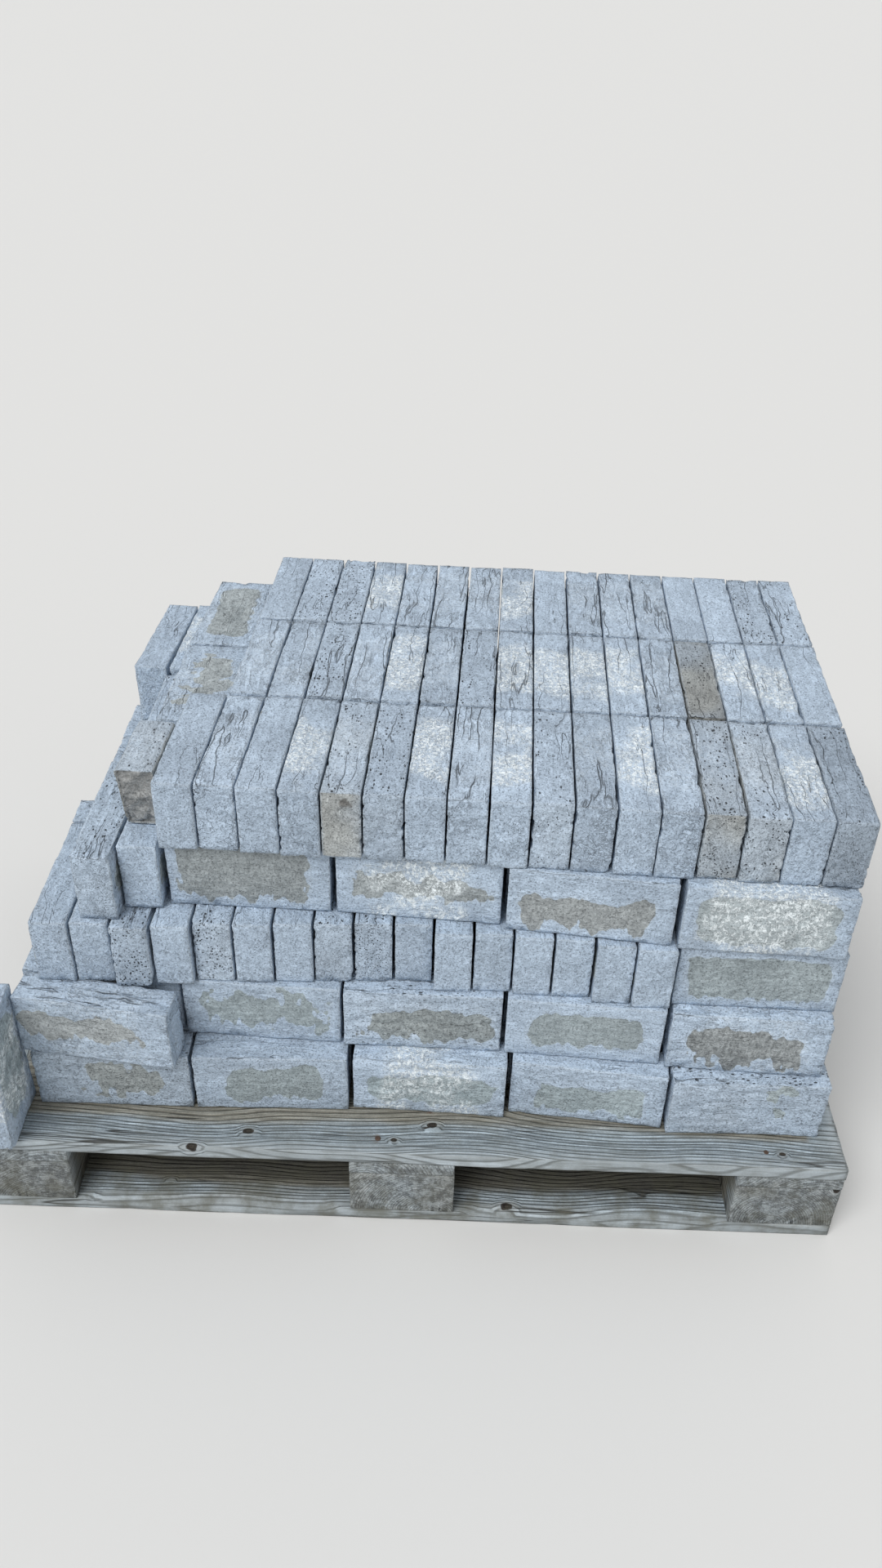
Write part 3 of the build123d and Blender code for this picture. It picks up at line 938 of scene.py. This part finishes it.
# The fine folds are darker in their hollows and paler on their crests, and the fine fold lines, pores and
# creases are darkened: painted shade and painted light.
colour = colour * g.ramp(fine_folds, 0.3, 0.7, 0.91, 1.08)
colour = g.mix(fine_line * 0.3, colour, CREASE_PAINTED_SHADE)
pores = g.ramp(g.noise(place, 360.0, seed=20.0, roughness=0.6), 0.58, 0.68)
colour = g.mix(pores * 0.3 * (1.0 - bloom).clamped(), colour, CREASE_PAINTED_SHADE)
colour = g.mix(crease * 0.6, colour, CREASE_PAINTED_SHADE)
cells = g.node("ShaderNodeTexVoronoi", {"Vector": place * (0.5, 1.0, 1.0), "Scale": 290.0})
cell_draw = g.split(cells["Color"])[0]
pit_size = g.ramp(cell_draw, 0.35, 1.0, 0.0, 0.40)
pit_gate = g.ramp(g.noise(place, (10.0, 30.0, 30.0), detail=1.0, seed=14.0), 0.36, 0.52)
pit_shape = g.ramp(pit_size - cells["Distance"], 0.0, 0.07)
pits = pit_shape * pit_gate * g.ramp(trait(g, "pits"), 0.1, 0.7) * (bed_side * -0.5 + 1.0)
# The pits are darkened: painted shade in the hollows.
colour = g.mix(pits * 0.9, colour, PIT_PAINTED_SHADE)
print("clay with creases:", len(clay.node_tree.nodes), "nodes")

# %% Finish the clay
# On the bat's broken face the clay is the unwashed inside of the brick: warmer, and coarse.
BROKEN_CLAY = (0.370, 0.378, 0.376, 1)
DIRT_BROWN = (0.150, 0.140, 0.115, 1)
broken = trait(g, "broken")
broken_colour = BROKEN_CLAY[:3] * g.ramp(g.noise(place, 160.0, detail=4.0, seed=15.0), 0.3, 0.7, 0.7, 1.2)
colour = g.mix(broken, colour, broken_colour)
dirt = g.group(dirt_group, {"Height limit": 0.3, "Amount": 0.55})[0]
colour = g.mix(dirt * 0.5, colour, DIRT_BROWN)
lumps = g.noise(place, 52.0, detail=3.0, seed=17.0)
parts_of_relief = (
    (grain["Height"], 0.0026),
    (fine_folds, 0.0028),
    (fine_line, -0.0007),
    (lumps, 0.0028),
    (lip, 0.0026),
    (crease, -0.0022),
    (pits, -0.0026),
    (pores, -0.0009),
    (bloom, 0.0003),
    (patched, -0.0003),
)
roughness = g.ramp(grain["Height"], 0.3, 0.7, 0.84, 0.96)
finish_surface(g, colour, roughness, full_relief(parts_of_relief), {"Specular IOR Level": 0.25})
print("clay:", len(clay.node_tree.nodes), "nodes")

# %% [markdown]
# ## Weathered boards
#
# The pallet has stood outside for years: its arrises are worn and nicked, and its boards have
# settled into slow waves. A board is a box again, so its tree starts from the bounding box of the
# solid that it is given. The wheel bevels of the base boards are taken from the solid itself: a ray
# is cast down onto it from above each point, and no point may stand above where its ray lands.

# %% Write the tree that weathers a board
BOARD_QUADS, GRAIN_STRETCH = (0.012, 0.004, 0.0035), (3.0, 70.0, 70.0)
board_tree, g, given = new_geometry_tree("weathered_board", {
    "Quads": BOARD_QUADS,
    "Grain stretch": GRAIN_STRETCH,
    "Arris": 0.0016,
    "Arris wear": 2.6,
    "Wave depth": 0.0011,
    "Ridge depth": 0.0008,
    "Seed": 1.0,
})
RAY_START, RAY_INSET = 0.05, 0.996
seed = given["Seed"]
bounds = g.node("GeometryNodeBoundBox", {"Geometry": given["Geometry"]})
size = bounds["Max"] - bounds["Min"]
middle = (bounds["Max"] + bounds["Min"]) * 0.5
box = box_of_quads(g, size, given["Quads"])
place = g.node("GeometryNodeInputPosition")[0]
nicked = g.ramp(g.noise(place, 17.0, detail=5.0, seed=seed, roughness=0.6), 0.52, 0.80)
radius = given["Arris"] * (nicked * given["Arris wear"] + 0.8)
rounded = move_to(g, box, round_arrises(g, place, size, radius))
wave = g.ramp(g.noise(place, 5.0, seed=seed + 3.0), 0.3, 0.7)
stretched = place * given["Grain stretch"]
ridges = g.ramp(g.noise(stretched, 1.0, seed=seed + 5.0), 0.3, 0.7)
depth = wave * given["Wave depth"] + ridges * given["Ridge depth"]
moved = push_in(g, rounded, depth)
print("board tree: box, arrises and ridges,", len(board_tree.nodes), "nodes")

# %% Cut it to its solid
flat = place * (RAY_INSET, RAY_INSET, 1.0)
source = flat + middle + (0.0, 0.0, RAY_START)
ray = g.node("GeometryNodeRaycast", {"Target Geometry": given["Geometry"], "Source Position": source,
                                     "Ray Direction": (0.0, 0.0, -1.0), "Ray Length": 2 * RAY_START})
landing = g.split(ray["Hit Position"])[2] - g.split(middle)[2]
here_x, here_y, here_z = g.split(place)
cut_place = g.join(here_x, here_y, g.math("MINIMUM", here_z, landing))
cut = g.node("GeometryNodeSetPosition", {"Geometry": moved, "Selection": ray["Is Hit"], "Position": cut_place})
merged = g.node("GeometryNodeMergeByDistance", {"Geometry": cut, "Distance": 0.0002})
seated = g.node("GeometryNodeTransform", {"Geometry": merged, "Translation": middle})
finish_shape(g, seated, given["Finish"], smooth=True)
print("board tree:", len(board_tree.nodes), "nodes")

# %% [markdown]
# ## Where the knots and nails are
#
# The grain of a board is a slice through the tree's rings: each ring is a tube round the pith, so
# how far a point is from the pith line gives long lines on the faces, flames where the face just
# touches a ring, and arcs on the ends, all from one number. Each point of a board therefore carries
# its place from its pith line. It also carries the way to the nearest knot and to the nearest nail,
# so that the wood can swirl round the one and rust round the other.

# %% Place the knots
timber = [name for name in frame["nodes"] if name not in bricks]
pallet_low = Vector([min(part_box(name)[0][axis] for name in timber) for axis in range(3)])
pallet_high = Vector([max(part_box(name)[1][axis] for name in timber) for axis in range(3)])
PALLET_MIDDLE, PALLET_HALF = (pallet_low + pallet_high) / 2, (pallet_high - pallet_low) / 2
FRONT_KNOTS = ((-0.283, -0.398, 0.007), (-0.211, -0.369, 0.006), (-0.012, -0.375, 0.004),
               (0.039, -0.348, 0.006), (0.515, -0.376, 0.004))
BASE_KNOTS = ((0.148, -0.385, 0.007), (-0.330, -0.362, 0.004))
KNOTS_PER_BOARD, KNOT_RADII = 4, (0.004, 0.008)
wood_chance = np.random.default_rng(77)


def knots_of(node):
    """The knots of a board: middles in metres and radii."""
    low, high = (np.array(corner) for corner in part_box(node))
    if node == "deck_board_front":
        return [((x, y, high[2]), radius) for x, y, radius in FRONT_KNOTS]
    if node == "base_board_front":
        return [((x, y, high[2] - 0.006), radius) for x, y, radius in BASE_KNOTS]
    middles = wood_chance.uniform(low, high, (KNOTS_PER_BOARD, 3))
    middles[:, 2] = high[2]
    return [(tuple(middle), float(wood_chance.uniform(*KNOT_RADII))) for middle in middles]


# %% Place the nails
# Wide deck boards are held by three nails at each stringer, and narrow ones by two. The base boards
# are nailed into the blocks from below.
WIDE_BOARD = 0.12
WIDE_PATTERN = ((-0.034, -0.046), (0.036, 0.004), (-0.030, 0.047))
NARROW_PATTERN = ((-0.030, -0.026), (0.032, 0.028))


def nails_of(board, crossings):
    """Nail places on a board, one pattern at each piece that it crosses."""
    low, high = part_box(board)
    pattern = WIDE_PATTERN if high.y - low.y > WIDE_BOARD else NARROW_PATTERN
    across = (low.y + high.y) / 2
    places = []
    for crossing in crossings:
        crossing_low, crossing_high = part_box(crossing)
        along = (crossing_low.x + crossing_high.x) / 2
        places += [(along + x, across + y) for x, y in pattern]
    return places


stringers = [name for name in timber if name.startswith("stringer")]
deck_boards = [name for name in timber if name.startswith("deck")]
base_boards = [name for name in timber if name.startswith("base")]
nails = {}
for nailed, side in ((deck_boards, 1), (base_boards, 0)):
    for board in nailed:
        nails[board] = [(x, y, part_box(board)[side].z) for x, y in nails_of(board, stringers)]
print(sum(len(places) for places in nails.values()), "nails in", len(nails), "boards")

# %% Make the boards
BLOCK_QUADS = (0.005, 0.005, 0.005)
BOARD_KEPT_SHARE, BOARD_SEED_STEP = 0.55, 3.7
RING_GAP, BLOCK_RING_GAP = 0.0050, 0.0036
# The two front blocks are drawn darker all over, and on the right front block that darkness is painted shade.
DARKENED_BLOCKS = {"block_left_front": 0.54, "block_right_front": 0.85}
SILVER = {"deck": 0.60, "base": 0.42, "stringer": 0.40, "block": 0.36}
PITHS = {"deck_board_front": (0.0, 0.040, -0.030), "base_board_front": (0.0, 0.045, -0.025)}
PITH_ASIDE, PITH_BELOW = (-0.07, 0.07), (-0.085, -0.035)
SILVER_SPREAD = 0.12
KNOT_FIELD, KNOT_FADE, LEAST_REACH = 4.0, 1.25, 1e-4
NO_NAIL = [(9.0, 9.0, 9.0)]
wood = bpy.data.materials.new("weathered_wood")


def nearest(points, middles):
    """For each point, which of the middles is nearest, and how far it is."""
    distances = np.linalg.norm(points[:, None] - np.array(middles)[None], axis=2)
    return distances.argmin(1), distances.min(1)


def weather(node, number):
    """Shows a board or block as weathered timber in place of its solid."""
    kind = node.split("_")[0]
    runs_across = kind in ("stringer", "block")
    order = [1, 0, 2] if runs_across else [0, 1, 2]
    quads = BLOCK_QUADS if kind == "block" else np.array(BOARD_QUADS)[order]
    stretch = np.array(GRAIN_STRETCH)[order]
    settings = {"Quads": Vector(quads), "Grain stretch": Vector(stretch), "Seed": number * BOARD_SEED_STEP,
                "Finish": wood}
    mesh = run_tree(merged_copy(node), board_tree, settings, "weathered_" + node, BOARD_KEPT_SHARE)
    points = points_of(mesh)
    low, high = (np.array(corner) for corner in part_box(node))
    from_middle = points - (low + high) / 2
    drawn_pith = (0.0, wood_chance.uniform(*PITH_ASIDE), wood_chance.uniform(*PITH_BELOW))
    pith = np.array(PITHS.get(node, drawn_pith))
    write_attribute(mesh, "board_place", from_middle[:, order])
    write_attribute(mesh, "grain_place", from_middle[:, order] - pith)
    write_same(mesh, "board_half", ((high - low) / 2)[order])
    write_same(mesh, "board_draw", wood_chance.uniform(0.0, 5.0, 3))
    write_same(mesh, "silver", SILVER[kind] + wood_chance.uniform(-SILVER_SPREAD, SILVER_SPREAD))
    write_same(mesh, "ring_gap", BLOCK_RING_GAP if kind == "block" else RING_GAP)
    write_same(mesh, "shade", DARKENED_BLOCKS.get(node, 1.0))
    knot_middles, knot_radii = (np.array(values) for values in zip(*knots_of(node)))
    which, from_knot = nearest(points, knot_middles)
    radii = knot_radii[which]
    fading = np.clip(KNOT_FADE - from_knot / (KNOT_FIELD * radii), LEAST_REACH, 1.0)
    write_attribute(mesh, "knot_offset", points - knot_middles[which])
    write_attribute(mesh, "knot_reach", radii * fading)
    write_attribute(mesh, "from_nail", nearest(points, nails.get(node, NO_NAIL))[1])
    return add_piece("weathered_" + node, mesh, node)


boards = [weather(node, number) for number, node in enumerate(sorted(timber))]
print(len(boards), "boards and blocks,", sum(len(board.data.polygons) for board in boards), "faces")

# %% [markdown]
# ## Grey wood
#
# Sun and rain bleach the hard late wood of each ring to silver and wash the soft early wood out, so
# every ring is a pale ridge beside a dark groove. The material reads the ring number from the grain
# place, bends the rings round the knots, and then adds fibres, cracks, brown and silver weather,
# rust round the nails and splashed dirt low down.

# %% Lay out the rings
SILVER_RIDGE, SILVER_GROOVE = (0.475, 0.560, 0.618, 1), (0.105, 0.120, 0.128, 1)
BLEACHED_RIDGE, BLEACHED_GROOVE = (0.545, 0.600, 0.635, 1), (0.270, 0.295, 0.300, 1)
BROWN_RIDGE, BROWN_GROOVE = (0.345, 0.340, 0.298, 1), (0.118, 0.109, 0.088, 1)
WORN_WOOD, CRACK_PAINTED_SHADE = (0.36, 0.375, 0.365, 1), (0.035, 0.033, 0.030, 1)
END_REACH = 0.005
g = shader_graph(wood)
own = trait_vector(g, "board_place")
half = trait_vector(g, "board_half")
draw = trait_vector(g, "board_draw")
along, across, depth = g.split(trait_vector(g, "grain_place"))
drift_place = own * (2.6, 2.0, 2.0) + draw
drift = g.noise(drift_place, 1.0, detail=1.0, seed=1.0)
other_drift = g.noise(drift_place, 1.0, detail=1.0, seed=2.0)
pith_y = (drift - 0.5) * 0.06 + across
pith_z = (other_drift - 0.5) * 0.085 + depth
from_pith = g.vector("LENGTH", g.join(pith_y, pith_z, 0.0))
fibre_place = own + draw
wobble = g.noise(fibre_place, (7.0, 45.0, 45.0), seed=3.0)
knot_reach = trait(g, "knot_reach")
from_knot = g.vector("LENGTH", trait_vector(g, "knot_offset") * (0.6, 1.0, 0.45)) / knot_reach
swirl = g.ramp(from_knot, 0.3, 4.0, 1.0, 0.0)
good_years = g.noise(g.join(from_pith, 0.0, 0.0), 95.0, seed=10.0)
shiver = g.noise(fibre_place, (16.0, 210.0, 210.0), seed=11.0)
ring_place = from_pith
for field, metres in ((wobble, 0.0040), (good_years, 0.0085), (shiver, 0.0016), (swirl, 0.006)):
    ring_place = field * metres + ring_place
ring = ring_place / trait(g, "ring_gap")
phase = g.math("FRACT", ring)
ring_draw = g.node("ShaderNodeTexWhiteNoise", {"W": g.math("FLOOR", ring)}, noise_dimensions="1D")[0]
cut_end = near_side(g, g.split(own)[0], g.split(half)[0], END_REACH)
ridge = g.ramp(phase, 0.02, 0.26) * g.ramp(phase, 0.7, 0.99, 1.0, 0.0)
ridge = ridge * (ring_draw * 0.5 + 0.5)
ridge = (ridge - 0.45) * (cut_end * -0.45 + 1.0) + 0.45
print("wood rings:", len(wood.node_tree.nodes), "nodes")

# %% Weather the wood
fibres = g.noise(fibre_place, (14.0, 640.0, 640.0), detail=3.0, seed=4.0, roughness=0.6)
weather_field = g.noise(fibre_place, (2.2, 11.0, 11.0), detail=4.0, seed=5.0, roughness=0.6)
spot_x, spot_y, spot_z = g.split(g.node("ShaderNodeTexCoord")["Object"])
inside_x = PALLET_HALF.x - abs(spot_x - PALLET_MIDDLE.x)
inside_y = PALLET_HALF.y - abs(spot_y - PALLET_MIDDLE.y)
inside = g.math("MINIMUM", inside_x, inside_y)
washed = g.ramp(inside, 0.025, 0.065, 0.24, -0.20)
silver_field = weather_field + washed + (trait(g, "silver") - 0.5)
silvered = g.ramp(silver_field, 0.36, 0.64)
ridge_colour = g.mix(silvered, BROWN_RIDGE, SILVER_RIDGE)
groove_colour = g.mix(silvered, BROWN_GROOVE, SILVER_GROOVE)
colour = g.mix(ridge * 0.8 + 0.1, groove_colour, ridge_colour)
colour = colour * g.ramp(fibres, 0.28, 0.72, 0.5, 1.42)
grain = g.group(grain_group, {"Place": fibre_place, "Coarse scale": 90.0, "Contrast": 0.12})
colour = colour * (grain["Shade"] * trait(g, "shade"))
from_rim = weather_field * 0.022 + inside
bleached = g.ramp(from_rim, 0.012, 0.036, 1.0, 0.0)
colour = g.mix(bleached * 0.6, colour, g.mix(ridge, BLEACHED_GROOVE, BLEACHED_RIDGE))
# Low down and away from the pallet's rim, under the deck, the wood is darkened: painted shade.
low_down = g.ramp(spot_z, 0.030, 0.045, 1.0, 0.0)
shade_under_deck = g.ramp(inside, 0.022, 0.06) * low_down
colour = colour * (shade_under_deck * -0.55 + 1.0)
blotches = g.ramp(g.noise(fibre_place, 85.0, detail=6.0, seed=12.0, roughness=0.82), 0.40, 0.60, 0.38, 1.12)
colour = g.mix(cut_end, colour, colour * blotches)
wear = g.group(arris_group, {"Place": own, "Half size": half, "Reach": 0.004, "Raggedness": 0.006})[0]
colour = g.mix(wear * 0.5, colour, WORN_WOOD)
crack_field = g.noise(fibre_place, (1.6, 42.0, 42.0), seed=6.0)
crack_gate = g.ramp(g.noise(fibre_place, (5.0, 20.0, 20.0), seed=7.0), 0.5, 0.62)
crack = g.ramp(abs(crack_field - 0.5), 0.002, 0.011, 1.0, 0.0) * crack_gate * (cut_end * -0.9 + 1.0)
# The cracks are darkened: painted shade in the splits.
colour = g.mix(crack * 0.85, colour, CRACK_PAINTED_SHADE)
print("weathered wood:", len(wood.node_tree.nodes), "nodes")

# %% Add knots, rust and dirt
KNOT_HALO, KNOT_DARK, KNOT_BROWN = (0.44, 0.47, 0.48, 1), (0.012, 0.010, 0.009, 1), (0.036, 0.028, 0.024, 1)
RUST_STAIN, WOOD_DIRT = (0.120, 0.066, 0.038, 1), (0.125, 0.122, 0.090, 1)
knot_edge = g.noise(fibre_place, 130.0, seed=8.0) * 0.5 + from_knot
knot = g.ramp(knot_edge, 0.95, 1.2, 1.0, 0.0)
halo = (g.ramp(knot_edge, 1.2, 2.4, 1.0, 0.0) - knot).clamped()
colour = g.mix(halo * 0.38, colour, KNOT_HALO)
knot_rings = g.math("SINE", knot_edge * 16.0)
colour = g.mix(knot, colour, g.mix(g.ramp(knot_rings, -1.0, 1.0), KNOT_DARK, KNOT_BROWN))
rust_edge = g.noise(fibre_place, 95.0, detail=3.0, seed=9.0) * 0.012 + trait(g, "from_nail")
rusty = g.ramp(rust_edge, 0.008, 0.018, 1.0, 0.0)
colour = g.mix(rusty * 0.65, colour, RUST_STAIN)
dirt = g.group(dirt_group, {"Height limit": 0.24, "Amount": 1.3})[0]
colour = g.mix(dirt * 0.55, colour, WOOD_DIRT)
parts_of_relief = (
    (ridge, 0.0017),
    (fibres, 0.0010),
    (grain["Height"], 0.0006),
    (crack, -0.0030),
    (knot, -0.0012),
)
roughness = g.ramp(fibres, 0.3, 0.7, 0.72, 0.92)
finish_surface(g, colour, roughness, full_relief(parts_of_relief), {"Specular IOR Level": 0.3})
print("wood:", len(wood.node_tree.nodes), "nodes")

# %% [markdown]
# ## The nails
#
# Every nail is the same, so a tree sets one head on each point of a mesh of points. A head is a low
# dome of a few faces with its rim just below the face of the board, and it points up out of the deck
# or down out of the base.

# %% Write the tree that drives nails
nail_tree, g, given = new_geometry_tree("driven_nails", {
    "Head radius": 0.0042,
    "Head height": 0.0011,
    "Sides": 10,
})
head = g.node("GeometryNodeMeshCone", {"Vertices": given["Sides"], "Side Segments": 2,
                                       "Radius Top": given["Head radius"] * 0.6,
                                       "Radius Bottom": given["Head radius"], "Depth": given["Head height"]},
              fill_type="NGON")["Mesh"]
finish_shape(g, set_out(g, given["Geometry"], head, {}), given["Finish"], smooth=False)
print("nail tree:", len(nail_tree.nodes), "nodes")

# %% Drive the nails
HEAD_SINK = 0.0014
RUST_BROWN, IRON_BROWN = (0.115, 0.060, 0.035, 1), (0.075, 0.062, 0.055, 1)
rust = bpy.data.materials.new("rusty_iron")
g = shader_graph(rust)
place = g.node("ShaderNodeTexCoord")["Object"]
grain = g.group(grain_group, {"Place": place, "Coarse scale": 300.0, "Fine scale": 1400.0, "Contrast": 0.25})
colour = g.mix(grain["Height"], RUST_BROWN, IRON_BROWN) * grain["Shade"]
roughness = g.ramp(grain["Height"], 0.3, 0.7, 0.55, 0.85)
relief = {"Height": grain["Height"], "Strength": 0.6, "Distance": 0.0008}
finish_surface(g, colour, roughness, relief, {"Metallic": 0.35})

nail_points, nail_turns = [], []
for board, places in nails.items():
    is_deck = board in deck_boards
    sink = HEAD_SINK if is_deck else -HEAD_SINK
    nail_points += [(x, y, z - sink) for x, y, z in places]
    nail_turns += [(0.0 if is_deck else math.pi, 0.0, 0.0)] * len(places)
nail_mesh = bpy.data.meshes.new("nail_points")
nail_mesh.from_pydata(nail_points, [], [])
write_attribute(nail_mesh, "turn", nail_turns)
nail_heads = show("nail_heads", run_tree(nail_mesh, nail_tree, {"Finish": rust}, "nail_heads"))
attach(nail_heads, "root")
print(len(nail_points), "nail heads,", len(nail_heads.data.polygons), "faces")

# %% [markdown]
# ## Floor, light and camera
#
# The floor is plain and pale and runs past every view, and the world that the camera sees behind it
# has the floor's own tone, so no horizon shows. A soft sky from all round and one large soft lamp
# from above and the front left light the tops a little more than the fronts, as open shade does.

# %% Lay the floor
FLOOR_SIZE = 400.0
FLOOR_TONE = (0.72, 0.72, 0.71, 1)
floor_mesh = bpy.data.meshes.new("floor")
half_floor = FLOOR_SIZE / 2
floor_corners = [(x * half_floor, y * half_floor, 0) for x, y in ((-1, -1), (1, -1), (1, 1), (-1, 1))]
floor_mesh.from_pydata(floor_corners, [], [(0, 1, 2, 3)])
floor = show("floor", floor_mesh)
pale = bpy.data.materials.new("pale_floor")
g = shader_graph(pale)
surface = g.node("ShaderNodeBsdfPrincipled", {"Base Color": FLOOR_TONE, "Roughness": 0.9})
g.node("ShaderNodeOutputMaterial", {0: surface})
floor_mesh.materials.append(pale)
floor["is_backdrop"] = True
print("floor laid,", FLOOR_SIZE, "m wide")

# %% Light it
SKY_TONE, BACKDROP_TONE = (0.60, 0.60, 0.60, 1), (0.765, 0.765, 0.755, 1)
LAMP_LEVEL, LAMP_SPREAD = 1.75, math.radians(30)
LAMP_TURN = (math.radians(28), math.radians(-24), 0)
world = bpy.data.worlds.new("studio")
bpy.context.scene.world = world
g = shader_graph(world)
rays = g.node("ShaderNodeLightPath")
seen = g.math("MAXIMUM", rays["Is Camera Ray"], rays["Is Glossy Ray"])
sky = g.node("ShaderNodeBackground", {"Color": g.mix(seen, SKY_TONE, BACKDROP_TONE), "Strength": 1.0})
g.node("ShaderNodeOutputWorld", {0: sky})
lamp_data = bpy.data.lights.new("soft_lamp", "SUN")
lamp_data.energy = LAMP_LEVEL
lamp_data.angle = LAMP_SPREAD
lamp = show("soft_lamp", lamp_data)
lamp.rotation_euler = LAMP_TURN
print("sky", SKY_TONE[0], "lamp", LAMP_LEVEL)

# %% Set the camera
CAMERA_PLACE = (0.04593, -1.44190, 1.49279)
CAMERA_YAW, CAMERA_PITCH, CAMERA_ROLL = math.radians(-0.458), math.radians(35.297), math.radians(-1.717)
FOCAL_SHARE = 1487.99 / 1920
SENSOR_HEIGHT = 24.0

sin_yaw, cos_yaw = math.sin(CAMERA_YAW), math.cos(CAMERA_YAW)
sin_pitch, cos_pitch = math.sin(CAMERA_PITCH), math.cos(CAMERA_PITCH)
forward = Vector((sin_yaw * cos_pitch, cos_yaw * cos_pitch, -sin_pitch))
right = Vector((cos_yaw, -sin_yaw, 0.0))
down = forward.cross(right)
rolled_right = right * math.cos(CAMERA_ROLL) + down * math.sin(CAMERA_ROLL)
rolled_down = down * math.cos(CAMERA_ROLL) - right * math.sin(CAMERA_ROLL)
camera_data = bpy.data.cameras.new("camera")
camera_data.sensor_fit = "VERTICAL"
camera_data.sensor_height = SENSOR_HEIGHT
camera_data.lens = FOCAL_SHARE * SENSOR_HEIGHT
camera = show("camera", camera_data)
axes = Matrix((rolled_right, -rolled_down, -forward)).transposed()
camera.matrix_world = Matrix.Translation(CAMERA_PLACE) @ axes.to_4x4()
bpy.context.scene.camera = camera
bpy.context.scene.view_settings.view_transform = "Standard"

# %% Gather the sizes of the CAD model and of the visual model
size = {"cad": [list(corner) for corner in cad_box], "visual": [list(corner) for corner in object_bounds()]}
